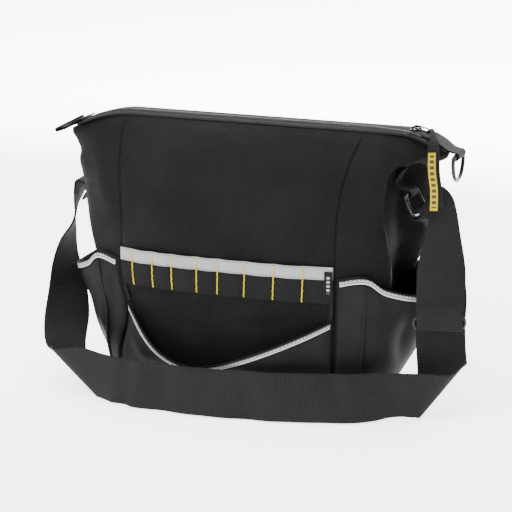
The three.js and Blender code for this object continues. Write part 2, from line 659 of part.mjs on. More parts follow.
const STRAP_RETURN = [
  { x: 0.920, y: -0.140, low: 0.714, ax: 0, ay: 0.93, az: 0.35, wide: 0.76 },
  { x: 0.952, y: -0.160, low: 0.707, ax: 0, ay: 0.82, az: 0.57, wide: 0.82 },
  { x: 0.985, y: -0.200, low: 0.698, ax: 0.12, ay: 0.78, az: 0.62, wide: 0.88 },
  { x: 1.012, y: -0.250, low: 0.676, ax: 0.35, ay: 0.80, az: 0.48, wide: 0.95 },
  { x: 1.032, y: -0.340, low: 0.600, ax: 0.60, ay: 0.80, az: 0.12, wide: 1 },
  { x: 1.047, y: -0.430, low: 0.520, ax: 0.84, ay: 0.54, az: 0, wide: 1 },
  { x: 1.052, y: -0.505, low: 0.435, ax: 0.93, ay: 0.36, az: 0, wide: 0.97 },
];
const SLIDER_BAR = { x: 1.050, y: -0.515, z: 0.328, turn: 0.35 };

function strapStation(row) {
  const across = vec(row.ax, row.ay, row.az).normalize();
  const wide = row.wide * STRAP_WIDE;
  const rise = (Math.abs(across.z) * wide) / 2 + FLOOR_GAP;
  const centre = vec(row.x * HALF_WIDTH, row.y * HALF_DEPTH, row.low * BAG_HEIGHT + rise);
  return { centre, across, wide, fine: row.fine };
}

// Slider of the strap: a flat frame held in the folded hem of the strap's end
const sliderFrame = {
  bar: vec(SLIDER_BAR.x * HALF_WIDTH, SLIDER_BAR.y * HALF_DEPTH, SLIDER_BAR.z * BAG_HEIGHT),
  across: vec(Math.cos(SLIDER_BAR.turn), Math.sin(SLIDER_BAR.turn), 0),
  out: vec(Math.sin(SLIDER_BAR.turn), -Math.cos(SLIDER_BAR.turn), 0),
};

function strapSlider() {
  const up = vec(0, 0, 1);
  const { wide, tall, wire, corner } = STRAP_SLIDER;
  const centre = sliderFrame.bar.clone().addScaledVector(up, tall / 2);
  return wireLoop(roundedLoop(centre, sliderFrame.across, up, wide, tall, corner), wire, 30, 6);
}

function strapHem() {
  const radius = STRAP_SLIDER.wire / 2 + STRAP_SLIDER.clearance + STRAP_THICK / 2;
  const wide = STRAP_SLIDER.wide - STRAP_SLIDER.wire - 2 * STRAP_SLIDER.clearance;
  const { bar, across, out } = sliderFrame;
  const above = (place, rise) => ({
    centre: bar.clone().addScaledVector(out, place * radius).add(vec(0, 0, rise)),
    across,
    wide,
    fine: 1,
  });
  const fold = wrap(bar, radius, 0, -Math.PI, 6, across, wide, out);
  return [above(1, STRAP_HEM / 2), ...fold, above(-1, STRAP_HEM / 2), above(-1, STRAP_HEM)];
}

// The strap: a stitched end under the left ring, over its bar and down, along the floor past the front, up
// to the right ring, round its bar and down again to the slider
const STRAP_TAIL = { aside: 5, drop: 12 };
const RING_PLAY = 1;

function strapMain() {
  const radius = SIDE_RING.wire / 2 + SIDE_RING.clearance + STRAP_THICK / 2;
  const wide = SIDE_RING.wide - SIDE_RING.wire - 2 * RING_PLAY;
  const turn = Math.PI / 2;
  const leftTail = {
    centre: rings.left.lowBar.clone().add(vec(-STRAP_TAIL.aside, 0, -STRAP_TAIL.drop)),
    across: vec(0, -1, 0),
    wide,
    fine: 2,
  };
  const stations = [
    leftTail,
    ...wrap(rings.left.lowBar, radius, -turn, turn, 4, vec(0, -1, 0), wide),
    ...STRAP_LEFT.map(strapStation),
    ...STRAP_FLOOR.map(strapStation),
    ...STRAP_RIGHT.map(strapStation),
    ...wrap(rings.right.lowBar, radius, -turn, -3 * turn, 4, vec(0, 1, 0), wide),
    ...STRAP_RETURN.map(strapStation),
    ...strapHem(),
  ];
  return webbing(stations, STRAP_THICK, [-1, 0, 1]);
}

// Tabs at the ends of the zip: each leaves the ridge and folds back under itself at its hem. x is a share
// of HALF_WIDTH, y of HALF_DEPTH, rise a share of TAB_WIDE above the ridge, turn the hem's angle in plan.
const LEFT_TAB = [
  { x: -0.940, y: 0, rise: 0, turn: 0, wide: 0.98, fine: 2 },
  { x: -0.980, y: 0, rise: 0, turn: 0.08, wide: 1, fine: 2 },
  { x: -1.015, y: 0, rise: -0.08, turn: 0.20, wide: 1.10, fine: 2 },
];
const LEFT_HEM = { x: -1.050, z: 0.924, turn: 0.38, tilt: 0.20, wide: 1.22, radius: 1.6, back: 0.045 };
const RIGHT_TAB = [
  { x: 0.925, y: 0.06, rise: 0, turn: 0, wide: 0.90, fine: 2 },
  { x: 0.985, y: 0.05, rise: 0, turn: 0, wide: 0.88, fine: 2 },
  { x: 1.030, y: 0.02, rise: 0, turn: 0, wide: 0.80, fine: 2 },
];
const END_BAR = { x: 1.070, z: 0.918 };
const TAB_EYE_WIDE = 26;

function tabStation(row) {
  const lift = TOUCH_GAP + ZIP_TAPE_THICK + ZIP_CROWN + TOUCH_GAP + TAB_THICK / 2;
  const x = row.x * HALF_WIDTH;
  const z = TOP_SHARE * BAG_HEIGHT - ridgeFall(x) + lift + row.rise * TAB_WIDE;
  return {
    centre: vec(x, row.y * HALF_DEPTH, z),
    across: vec(Math.sin(row.turn), Math.cos(row.turn), 0),
    wide: row.wide * TAB_WIDE,
    fine: row.fine,
  };
}

function leftEndTab() {
  const hem = vec(LEFT_HEM.x * HALF_WIDTH, 0, LEFT_HEM.z * BAG_HEIGHT);
  const across = vec(Math.sin(LEFT_HEM.turn), Math.cos(LEFT_HEM.turn), LEFT_HEM.tilt);
  const wide = LEFT_HEM.wide * TAB_WIDE;
  const fold = wrap(hem, LEFT_HEM.radius, Math.PI * 0.55, Math.PI * 1.55, 5, across, wide);
  const back = hem.clone().add(vec(LEFT_HEM.back * HALF_WIDTH, 0, LEFT_HEM.radius));
  const stations = [...LEFT_TAB.map(tabStation), ...fold, { centre: back, across, wide, fine: 2 }];
  return webbing(stations, TAB_THICK, [-1, 0, 1]);
}

function rightEndTab() {
  const bar = endRing.bar;
  const radius = END_RING.wire / 2 + END_RING.clearance + TAB_THICK / 2;
  const across = vec(0, 1, 0);
  const fold = wrap(bar, radius, Math.PI * 0.55, -Math.PI * 0.88, 8, across, TAB_EYE_WIDE);
  return webbing([...RIGHT_TAB.map(tabStation), ...fold], TAB_THICK, [-1, 0, 1]);
}

// D-ring in the right tab: a straight bar through the tab's fold and a round bow hanging from it
const END_RING_CORNER = 5;

function makeEndRing() {
  const bar = vec(END_BAR.x * HALF_WIDTH, 0, END_BAR.z * BAG_HEIGHT);
  const half = END_RING.wide / 2;
  const corner = (side) => [0, 0.5, 1].map((t) => {
    const angle = t * (Math.PI / 2);
    const y = side * (half - END_RING_CORNER + END_RING_CORNER * Math.sin(angle));
    return bar.clone().add(vec(0, y, -END_RING_CORNER * (1 - Math.cos(angle))));
  });
  const depth = END_RING.tall - END_RING_CORNER;
  const bow = steps(9, 0.1, 0.9).map((t) => {
    const angle = t * Math.PI;
    const y = half * Math.cos(angle);
    return bar.clone().add(vec(0, y, -END_RING_CORNER - depth * Math.sin(angle)));
  });
  return { bar, points: [...corner(1), ...bow, ...corner(-1).reverse()] };
}
const endRing = makeEndRing();

// Zip slider: a plate on the coil's end with a bail on top, cut from one side profile. SLIDER_AT is a share
// of HALF_WIDTH and SLIDER_NOSE, where the bail ends, a share of half the slider's length.
const SLIDER_AT = 0.868;
const SLIDER_NOSE = 0.7;

function sliderSeat() {
  const x = SLIDER_AT * HALF_WIDTH;
  const highest = ridgeTop(x - SLIDER.long / 2, 0);
  return vec(x, coilLine(x), highest + COIL_LIFT + ZIP_COIL_THICK + TOUCH_GAP);
}

function zipSlider() {
  const shape = new THREE.Shape();
  const half = SLIDER.long / 2;
  const nose = SLIDER_NOSE * half;
  const eye = nose - SLIDER.bail;
  shape.moveTo(-half, 0);
  shape.lineTo(half, 0);
  shape.lineTo(half, SLIDER.plate);
  shape.lineTo(nose, SLIDER.plate);
  shape.absarc(eye, SLIDER.plate, SLIDER.bail, 0, Math.PI, false);
  shape.lineTo(-half, SLIDER.plate);
  shape.closePath();
  const hole = new THREE.Path();
  hole.absarc(eye, SLIDER.plate, SLIDER.bail - SLIDER.wire, 0, Math.PI, false);
  hole.closePath();
  shape.holes.push(hole);
  const settings = { depth: SLIDER.wide, bevelEnabled: false, curveSegments: 8 };
  const geometry = new THREE.ExtrudeGeometry(shape, settings);
  geometry.translate(0, 0, -SLIDER.wide / 2);
  geometry.rotateX(Math.PI / 2);
  return geometry;
}

// Puller: a wire loop whose near bar lies in the slider's bail. It points past the right end tab, down by
// PULLER_DROP and turned to the front by PULLER_TURN.
const PULLER_DROP = 0.22;
const PULLER_TURN = 0.12;

function pullerFrame() {
  const eye = (SLIDER_NOSE * SLIDER.long) / 2 - SLIDER.bail;
  const high = SLIDER.plate + SLIDER.bail - SLIDER.wire - PULLER.wire / 2 - TOUCH_GAP;
  const near = sliderSeat().add(vec(eye, 0, high));
  const along = vec(Math.cos(PULLER_TURN), -Math.sin(PULLER_TURN), -Math.tan(PULLER_DROP)).normalize();
  const across = vec(Math.sin(PULLER_TURN), Math.cos(PULLER_TURN), 0);
  return { near, along, across, far: near.clone().addScaledVector(along, PULLER.long) };
}

function zipPuller() {
  const { near, far, along, across } = pullerFrame();
  const centre = near.clone().add(far).multiplyScalar(0.5);
  const points = roundedLoop(centre, along, across, PULLER.long, PULLER.wide, PULLER.wire);
  return wireLoop(points, PULLER.wire, 26, 6);
}

// Ribbon on the puller: it folds round the far bar, drops past the right end and hangs with its face to
// the front
const RIBBON = [
  { x: 0.962, y: -0.210, z: 0.988, ax: 0.30, ay: 1 },
  { x: 0.976, y: -0.300, z: 0.974, ax: 0.62, ay: 0.78 },
  { x: 0.987, y: -0.380, z: 0.948, ax: 0.90, ay: 0.44 },
  { x: 0.997, y: -0.435, z: 0.882, ax: 0.94, ay: 0.34 },
  { x: 1.010, y: -0.440, z: 0.815, ax: 0.94, ay: 0.34 },
  { x: 1.012, y: -0.455, z: 0.742, ax: 0.94, ay: 0.34 },
];
const LABEL_FROM = 2;

function ribbonStation(row) {
  return {
    centre: vec(row.x * HALF_WIDTH, row.y * HALF_DEPTH, row.z * BAG_HEIGHT),
    across: vec(row.ax, row.ay, 0),
    wide: PULL_RIBBON.wide,
    fine: 2,
  };
}

function pullRibbon() {
  const { far, across } = pullerFrame();
  const radius = PULLER.wire / 2 + TOUCH_GAP + PULL_RIBBON.thick / 2;
  const wide = PULLER.wide - PULLER.wire - 2 * TOUCH_GAP;
  const out = vec(across.y, -across.x, 0);
  const fold = wrap(far, radius, -Math.PI * 0.6, -Math.PI * 1.8, 7, across, wide, out);
  return webbing([...fold, ...RIBBON.map(ribbonStation)], PULL_RIBBON.thick, [-1, 0, 1]);
}

// Label on the ribbon's hanging face, set to its left edge
function pullLabel() {
  const off = (PULL_RIBBON.thick + PULL_LABEL.thick) / 2 + PULL_LABEL.gap;
  const stations = RIBBON.slice(LABEL_FROM).map((row) => {
    const station = ribbonStation(row);
    const across = station.across.clone().normalize();
    const out = vec(across.y, -across.x, 0);
    station.centre.addScaledVector(out, off);
    station.centre.addScaledVector(across, (PULL_LABEL.wide - PULL_RIBBON.wide) / 2);
    return { ...station, wide: PULL_LABEL.wide };
  });
  return webbing(stations, PULL_LABEL.thick, [-1, 0, 1]);
}

const part = new THREE.Group();
part.name = 'insulated_lunch_bag';

const CLOTH = { color: 0x2b2d2d, roughness: 0.9, metalness: 0 };
const COATED = { color: 0x323634, roughness: 0.55, metalness: 0 };
const WEBBING = { color: 0x343436, roughness: 0.85, metalness: 0 };
const BINDING = { color: 0x1c1c1d, roughness: 0.9, metalness: 0 };
const REFLECTIVE = { color: 0xc4c8cc, roughness: 0.45, metalness: 0.1 };
const BLACK_METAL = { color: 0x1a1a1b, roughness: 0.35, metalness: 0.9 };
const YELLOW = { color: 0xe0c83a, roughness: 0.7, metalness: 0 };

function add(name, geometry, finish) {
  const mesh = new THREE.Mesh(geometry, new THREE.MeshStandardMaterial(finish));
  mesh.name = name;
  part.add(mesh);
  return mesh;
}

add('front_panel', facePanel(-1), CLOTH);
add('back_panel', facePanel(1), CLOTH);
add('left_gusset', gusset(-1), CLOTH);
add('right_gusset', gusset(1), CLOTH);
add('base_panel', basePanel(), COATED);
add('zip_tape_front', zipTape(-1), CLOTH);
add('zip_tape_back', zipTape(1), CLOTH);
add('zip_coil', zipCoil(), BINDING);
add('zip_slider', zipSlider(), BLACK_METAL).position.copy(sliderSeat());
add('zip_puller', zipPuller(), BLACK_METAL);
add('pull_ribbon', pullRibbon(), WEBBING);
add('pull_label', pullLabel(), YELLOW);
add('front_pocket', frontPocket.sheet, COATED);
add('front_pocket_binding', frontPocket.binding, BINDING);
add('front_pocket_stripe', frontPocket.stripe, REFLECTIVE);
for (const [name, side] of [['left', -1], ['right', 1]]) {
  const pocket = sidePocket(side);
  add(`${name}_pocket`, pocket.sheet, COATED);
  add(`${name}_pocket_binding`, pocket.binding, BINDING);
  add(`${name}_pocket_stripe`, pocket.stripe, REFLECTIVE);
  const ring = rings[name];
  add(`${name}_ring`, wireLoop(ring.points, SIDE_RING.wire, 26, 7), BLACK_METAL);
  add(`${name}_ring_tab`, ringTab(side), WEBBING);
}
add('tool_loop_webbing', toolLoopWebbing(), WEBBING);
add('reflective_tape', reflectiveTape(), REFLECTIVE);
add('woven_label', wovenLabel(), BINDING);
add('strap_main', strapMain(), WEBBING);
add('strap_slider', strapSlider(), BLACK_METAL);
add('left_end_tab', leftEndTab(), CLOTH);
add('right_end_tab', rightEndTab(), CLOTH);
add('end_ring', wireLoop(endRing.points, END_RING.wire, 28, 8), BLACK_METAL);

export default part;
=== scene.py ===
import math
from functools import partial
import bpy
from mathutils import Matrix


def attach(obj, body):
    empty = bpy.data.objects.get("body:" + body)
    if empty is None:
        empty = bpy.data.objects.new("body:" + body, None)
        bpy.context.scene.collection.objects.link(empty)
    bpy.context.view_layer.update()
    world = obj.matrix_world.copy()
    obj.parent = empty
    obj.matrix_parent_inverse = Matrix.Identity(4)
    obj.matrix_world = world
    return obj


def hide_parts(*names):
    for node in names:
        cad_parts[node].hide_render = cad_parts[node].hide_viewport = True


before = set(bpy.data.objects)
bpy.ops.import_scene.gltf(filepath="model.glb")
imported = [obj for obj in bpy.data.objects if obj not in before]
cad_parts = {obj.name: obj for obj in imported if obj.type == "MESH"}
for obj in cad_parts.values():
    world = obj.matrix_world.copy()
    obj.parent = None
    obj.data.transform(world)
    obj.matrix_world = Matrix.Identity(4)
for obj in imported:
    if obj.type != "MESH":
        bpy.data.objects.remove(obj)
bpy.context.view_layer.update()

from types import SimpleNamespace

import bpy
import numpy as np
from mathutils import Vector

# Looks of an insulated lunch bag: black ripstop cloth, coated cloth pockets with reflective trims, a band of
# tool loops, a zip along the ridge and a webbing strap lying in front. Metres, +Z up, the front faces -Y.

# Driving dimensions, the same as the frame's
HALF_WIDTH, HALF_DEPTH, HEIGHT = 0.200, 0.085, 0.285
GUSSET_FOLD = 0.030
STRAP_WIDE, STRAP_THICK = 0.050, 0.0018
TOUCH_GAP = 0.00035

# Sections of the body by height: shares of HEIGHT, then shares of HALF_WIDTH (left, right, seams), of
# HALF_DEPTH (front, back, where the gussets fold) and of GUSSET_FOLD, and the exponent that squares corners
SECTIONS = {
    "share": [0.002, 0.020, 0.060, 0.150, 0.300, 0.450, 0.600, 0.720, 0.820, 0.870, 0.910, 0.960, 0.984],
    "left": [0.690, 0.712, 0.738, 0.768, 0.812, 0.835, 0.880, 0.930, 0.975, 0.980, 1.002, 1.036, 1.040],
    "right": [0.650, 0.680, 0.715, 0.765, 0.810, 0.830, 0.895, 0.910, 0.930, 0.940, 1.000, 1.032, 1.032],
    "front": [0.71, 0.80, 0.88, 0.94, 0.97, 0.99, 0.97, 0.90, 0.75, 0.65, 0.54, 0.38, 0.27],
    "back": [0.70, 0.78, 0.84, 0.88, 0.90, 0.90, 0.88, 0.82, 0.70, 0.62, 0.52, 0.37, 0.27],
    "corner": [3.4, 3.4, 3.4, 3.4, 3.3, 3.2, 2.9, 2.6, 2.4, 2.3, 2.3, 2.4, 2.8],
    "fold": [0.00, 0.05, 0.15, 0.35, 0.60, 0.80, 0.95, 1.10, 1.10, 0.85, 0.45, 0.15, 0.05],
    "at_left": [0.00, 0.05, 0.10, 0.15, 0.15, 0.15, 0.12, 0.12, 0.12, 0.12, 0.08, 0.04, 0.00],
    "at_right": [0.00, 0.05, 0.10, 0.15, 0.15, 0.00, -0.12, -0.14, -0.12, -0.08, -0.04, 0.00, 0.00],
    "seam_left": [0.610, 0.630, 0.640, 0.625, 0.565, 0.605, 0.615, 0.635, 0.660, 0.668, 0.675, 0.680, 0.682],
    "seam_right": [0.525, 0.530, 0.535, 0.540, 0.545, 0.550, 0.550, 0.550, 0.558, 0.570, 0.582, 0.605, 0.612],
}
SECTION_UNITS = {
    "left": HALF_WIDTH, "right": HALF_WIDTH, "seam_left": HALF_WIDTH, "seam_right": HALF_WIDTH,
    "front": HALF_DEPTH, "back": HALF_DEPTH, "at_left": HALF_DEPTH, "at_right": HALF_DEPTH,
    "fold": GUSSET_FOLD, "corner": 1.0,
}
FOLD_REACH = {"left": 0.46, "right": 0.56}
FOLD_FLOOR = 0.48
TOP_SHARE = SECTIONS["share"][-1]
RIDGE_FALL = {"left": (0.70, 1.02, 0.070), "right": (0.80, 1.11, 0.105)}
RIDGE_EASE, FALL_FROM = 1.6, 0.72


# Curves and surfaces

def smooth(t):
    """The cubic 3t^2 - 2t^3."""
    return t * t * (3 - 2 * t)


def unit(v):
    """Vectors brought to length 1."""
    return v / np.maximum(np.linalg.norm(v, axis=-1, keepdims=True), 1e-12)


def vectors(x, y, z):
    """Three arrays, or arrays and numbers, as one array of points."""
    return np.stack(np.broadcast_arrays(x, y, z), axis=-1).astype(float)


def through(places, values, at):
    """Curve through (places, values): on each span the cubic whose end slopes join a point's neighbours."""
    places, values, at = np.array(places, float), np.array(values, float), np.asarray(at, float)
    last = len(places) - 1
    before, after = np.maximum(np.arange(last + 1) - 1, 0), np.minimum(np.arange(last + 1) + 1, last)
    slope = (values[after] - values[before]) / (places[after] - places[before])
    i = np.clip(np.searchsorted(places, at, side="left") - 1, 0, last - 1)
    span = places[i + 1] - places[i]
    t = np.clip((at - places[i]) / span, 0, 1)
    near = values[i] * (1 - smooth(t)) + slope[i] * span * t * (1 - t) ** 2
    return near + values[i + 1] * smooth(t) - slope[i + 1] * span * t**2 * (1 - t)


def section_at(share):
    """The body's horizontal section at a share of its height, in metres."""
    found = {k: through(SECTIONS["share"], SECTIONS[k], share) * size for k, size in SECTION_UNITS.items()}
    return SimpleNamespace(**found)


def ridge_fall(x):
    """How far the ridge has fallen at x: nothing up to the start, then drop times a power of the way on."""
    falls = []
    for start, end, drop in RIDGE_FALL.values():
        t = np.maximum((np.abs(x) / HALF_WIDTH - start) / (end - start), 0)
        falls.append(drop * HEIGHT * t**RIDGE_EASE)
    return np.where(x < 0, *falls)


def settle(x, y, share):
    """Points of a section, lowered by the ridge's fall where they are high on the bag."""
    high = np.clip((share - FALL_FROM) / (TOP_SHARE - FALL_FROM), 0, 1)
    return vectors(x, y, share * HEIGHT - ridge_fall(x) * smooth(high))


def outline(share, angle, grow=0.0, folded=True):
    """Superellipse section at a height share in the direction angle, grown by grow, its gussets pressed in
    by a smooth step of the distance from the fold's line."""
    s = section_at(share)
    c, n = np.cos(angle), np.sin(angle)
    deep = np.where(n < 0, s.front, s.back) + grow
    wide = np.where(c < 0, s.left, s.right) + grow
    reach = (np.abs(c / wide) ** s.corner + np.abs(n / deep) ** s.corner) ** (-1 / s.corner)
    x, y = reach * c, reach * n
    if folded:
        span = np.where(c < 0, FOLD_REACH["left"], FOLD_REACH["right"]) * deep
        away = np.abs(y - np.where(c < 0, s.at_left, s.at_right)) / span
        x = x - np.sign(c) * s.fold * smooth(np.clip((1 - away) / (1 - FOLD_FLOOR), 0, 1))
    return settle(x, y, share)


def seam_angle(share, side, face):
    """Direction of a seam, from its distance across and the section's depth there."""
    s = section_at(share)
    seam, wide = (s.seam_right, s.right) if side > 0 else (s.seam_left, s.left)
    deep = (s.front if face < 0 else s.back) * (1 - (seam / wide) ** s.corner) ** (1 / s.corner)
    return np.arctan2(face * deep, side * seam)


def face_point(face, across, share, grow=0.0):
    """Front (face -1) or back (1) between its seams, across from -1 to 1: the superellipse at that x."""
    s = section_at(share)
    x = across * np.where(across < 0, s.seam_left, s.seam_right)
    wide = np.where(across < 0, s.left, s.right) + grow
    deep = (s.front if face < 0 else s.back) + grow
    y = face * deep * (1 - np.abs(x / wide) ** s.corner) ** (1 / s.corner)
    return settle(x, y, share)


def side_point(side, turn, share, grow=0.0, folded=True):
    """A side between its seams: turn is the share of the angle, -1 at the front seam and 1 at the back."""
    front, back = seam_angle(share, side, -1), seam_angle(share, side, 1)
    if side > 0:
        return outline(share, np.where(turn < 0, -turn * front, turn * back), grow, folded)
    angle = np.where(turn < 0, -turn * (-math.pi - front), turn * (math.pi - back))
    return outline(share, math.pi - angle, grow, folded)


def lengths_along(points, axis):
    """Distance covered along one axis of a grid of points, from 0."""
    step = np.linalg.norm(np.diff(points, axis=axis), axis=-1)
    zero = np.zeros_like(np.take(step, [0], axis=axis))
    return np.concatenate([zero, np.cumsum(step, axis=axis)], axis=axis)


def grid_normals(grid, ring=False):
    """Unit normals of a grid: the cross product of its steps along columns and rows."""
    if ring:
        along = np.roll(grid, -1, axis=1) - np.roll(grid, 1, axis=1)
    else:
        along = np.gradient(grid, axis=1)
    return unit(np.cross(along, np.gradient(grid, axis=0)))


# Meshes

def lofted(name, rings, closed=False, sharp=40, uv=None):
    """Closed solid through rings (n, m, 3), m even: quads join each ring to the next, and unless the path is
    closed, a ladder of quads from point k to point m-1-k fills each end. UV is metres round and along."""
    n, m, _ = rings.shape
    k, r = np.meshgrid(np.arange(m), np.arange(n if closed else n - 1))
    a, b = r * m + k, r * m + (k + 1) % m
    nxt = ((r + 1) % n) * m
    quads = np.stack([a, b, nxt + (k + 1) % m, nxt + k], axis=-1).reshape(-1, 4)
    if uv is None:
        loop = np.concatenate([rings, rings[:, :1]], axis=1)
        around = np.broadcast_to(lengths_along(loop, 1).mean(axis=0), (n, m + 1))
        path = np.concatenate([rings, rings[:1]], axis=0) if closed else rings
        far = lengths_along(path.mean(axis=1)[None], 1)[0]
        far = np.concatenate([far, far[-1:]])[: n + 1]
        far = np.broadcast_to(far[:, None], (n + 1, m + 1))
        uv = np.stack([np.concatenate([around, around[:1]]), far], axis=-1)
    corners = np.stack([uv[r, k], uv[r, k + 1], uv[r + 1, k + 1], uv[r + 1, k]], axis=2).reshape(-1, 4, 2)
    if not closed:
        c = np.arange(m // 2 - 1)
        for base, turned in ((0, True), ((n - 1) * m, False)):
            cap = base + np.stack([c, c + 1, m - 2 - c, m - 1 - c], axis=-1)
            quads = np.concatenate([quads, cap[:, ::-1] if turned else cap])
            corners = np.concatenate([corners, np.zeros((len(c), 4, 2))])
    points = rings.reshape(-1, 3)
    p = points[quads]
    volume = np.einsum("ij,ij->", p[:, 0], np.cross(p[:, 1], p[:, 2])) + np.einsum(
        "ij,ij->", p[:, 0], np.cross(p[:, 2], p[:, 3]))
    if volume < 0:
        quads, corners = quads[:, ::-1], corners[:, ::-1]
    return mesh_object(name, points, quads, corners, sharp)


def mesh_object(name, points, quads, corners=None, sharp=40):
    """Object of quads, smooth shaded but for edges sharper than sharp degrees."""
    mesh = bpy.data.meshes.new(name)
    mesh.from_pydata(points.tolist(), [], quads.tolist())
    if corners is not None:
        layer = mesh.uv_layers.new(name="UVMap")
        layer.data.foreach_set("uv", np.ascontiguousarray(corners, dtype=np.float32).ravel())
    mesh.polygons.foreach_set("use_smooth", np.ones(len(mesh.polygons), bool))
    mesh.update()
    mesh.set_sharp_from_angle(angle=math.radians(sharp))
    made = bpy.data.objects.new(name, mesh)
    bpy.context.scene.collection.objects.link(made)
    return made


def sheet_rings(outer, inner):
    """Rings of a sheet: each row out along the outer face and back along the inner one."""
    return np.concatenate([outer, inner[:, ::-1]], axis=1)


def repeated(name, centres, along, side, template):
    """Copies of a template (points, quads): x runs along, y to the side and z along their cross product."""
    points, quads = template
    up = np.cross(along, side)
    placed = (
        centres[:, None]
        + points[None, :, 0:1] * along[:, None]
        + points[None, :, 1:2] * side[:, None]
        + points[None, :, 2:3] * up[:, None]
    )
    shifts = np.arange(len(centres))[:, None, None] * len(points)
    return mesh_object(name, placed.reshape(-1, 3), (quads[None] + shifts).reshape(-1, 4), sharp=60)


def pill(length, thick, high, rings=5, sides=6):
    """Template of a pill: rings whose radius is the square root of 1 - t^4 along its length, capped."""
    t = np.cos(np.linspace(math.pi * 0.96, math.pi * 0.04, rings))
    angle = np.arange(sides) * 2 * math.pi / sides
    radius = np.sqrt(np.maximum(1 - t**4, 0.02))
    points = vectors(
        t[:, None] * length / 2,
        radius[:, None] * np.cos(angle) * thick / 2,
        radius[:, None] * np.sin(angle) * high / 2,
    ).reshape(-1, 3)
    k, r = np.meshgrid(np.arange(sides), np.arange(rings - 1))
    a, b = r * sides + k, r * sides + (k + 1) % sides
    quads = np.stack([a, a + sides, b + sides, b], axis=-1).reshape(-1, 4)
    ends = []
    for base, turned in ((0, False), ((rings - 1) * sides, True)):
        for c in range(sides // 2 - 1):
            cap = [base + c, base + c + 1, base + sides - 2 - c, base + sides - 1 - c]
            ends.append(cap[::-1] if turned else cap)
    return points, np.concatenate([quads, np.array(ends)])


def curve(points, fine, centripetal=True, closed=False):
    """Catmull-Rom curve through points, fine steps to each span; centripetal takes each span's time as the
    root of its length, and an open curve goes on straight past its ends."""
    p = np.asarray(points, float)
    if closed:
        p = np.concatenate([p[-1:], p, p[:2]])
    else:
        p = np.concatenate([2 * p[:1] - p[1:2], p, 2 * p[-1:] - p[-2:-1]])
    a, b, c, d = (p[i: len(p) - 3 + i][:, None] for i in range(4))
    power = 0.5 if centripetal else 0.0
    lengths = (np.linalg.norm(v, axis=-1, keepdims=True) for v in (b - a, c - b, d - c))
    d0, d1, d2 = (np.maximum(length**power, 1e-4) for length in lengths)
    leave = ((b - a) / d0 - (c - a) / (d0 + d1) + (c - b) / d1) * d1
    arrive = ((c - b) / d1 - (d - b) / (d1 + d2) + (d - c) / d2) * d1
    t = (np.arange(fine) / fine)[None, :, None]
    made = b * (1 - smooth(t)) + leave * t * (1 - t) ** 2 + c * smooth(t) - arrive * t**2 * (1 - t)
    flat = made.reshape(-1, p.shape[1])
    return flat if closed else np.concatenate([flat, p[-2:-1]])


def flat_profile(edge, count=13):
    """Half outline of a band as shares across and of its thickness: flat, with round edges of that share."""
    t = np.cos(np.linspace(math.pi, 0, count))
    rise = np.minimum(1, np.sqrt(np.maximum(1 - ((np.abs(t) - (1 - edge)) / edge).clip(0, 1) ** 2, 0)))
    return t, np.maximum(rise, 0.12)


def band_rings(centres, spreads, thick, edge=0.06, count=13, cup=None):
    """Rings of a band: each is the flat profile laid across the spread, its thickness along the path's
    normal. cup lifts each ring's middle by that many metres times 1 - t^2."""
    tangent = np.gradient(centres, axis=0)
    out = unit(np.cross(tangent, spreads))
    t, rise = flat_profile(edge, count)
    middle = centres[:, None] + spreads[:, None] * t[None, :, None]
    if cup is not None:
        middle = middle + out[:, None] * (np.asarray(cup).reshape(-1, 1, 1) * (1 - t[None, :, None] ** 2))
    half = out[:, None] * (rise * thick / 2)[None, :, None]
    return np.concatenate([middle + half, (middle - half)[:, ::-1]], axis=1)


def wire(name, points, radius, normal, closed=True, fine=10, sides=14):
    """Round wire along a curve in a plane with that normal."""
    path = curve(points, fine, closed=closed)
    if closed:
        tangent = unit(np.roll(path, -1, axis=0) - np.roll(path, 1, axis=0))
    else:
        tangent = unit(np.gradient(path, axis=0))
    normal = np.broadcast_to(unit(np.array(normal, float)), path.shape)
    side = np.cross(tangent, normal)
    angle = np.arange(sides) * 2 * math.pi / sides
    rings = path[:, None] + radius * (
        side[:, None] * np.cos(angle)[None, :, None] + normal[:, None] * np.sin(angle)[None, :, None])
    return lofted(name, rings, closed=closed, sharp=60)


def rounded_loop(centre, along, across, long, wide, radius):
    """Points round a rectangle with round corners."""
    centre, along, across = (np.array(v, float) for v in (centre, along, across))
    found = []
    for quarter, (sx, sy) in enumerate([(1, 1), (-1, 1), (-1, -1), (1, -1)]):
        angle = (quarter + np.array([0, 0.5, 1])) * (math.pi / 2)
        a = sx * (long / 2 - radius) + radius * np.cos(angle)
        b = sy * (wide / 2 - radius) + radius * np.sin(angle)
        found.append(centre + a[:, None] * along + b[:, None] * across)
    return np.concatenate(found)


# Materials

class Number:
    """A socket of the shader that Python's operators carry on with Math nodes."""

    def __init__(self, finish, socket):
        self.finish, self.socket = finish, socket

    def math(self, operation, other=None, turned=False):
        pair = [self, other] if not turned else [other, self]
        inputs = {i: v for i, v in enumerate(pair) if v is not None}
        return self.finish.number("ShaderNodeMath", {"operation": operation}, inputs)

    def __add__(self, other):
        return self.math("ADD", other)

    def __sub__(self, other):
        return self.math("SUBTRACT", other)

    def __rsub__(self, other):
        return self.math("SUBTRACT", other, turned=True)

    def __mul__(self, other):
        return self.math("MULTIPLY", other)

    def __truediv__(self, other):
        return self.math("DIVIDE", other)

    def __gt__(self, other):
        return self.math("GREATER_THAN", other)

    def __abs__(self):
        return self.math("ABSOLUTE")

    __radd__ = __add__
    __rmul__ = __mul__

    def sine(self):
        return self.math("SINE")

    def part(self):
        """The fraction of the number."""
        return self.math("FRACT")

    def ramp(self, low, high):
        """0 below low, 1 above high and a smooth step between."""
        inputs = {"Value": self, "From Min": low, "From Max": high}
        return self.finish.number("ShaderNodeMapRange", {"interpolation_type": "SMOOTHSTEP"}, inputs)


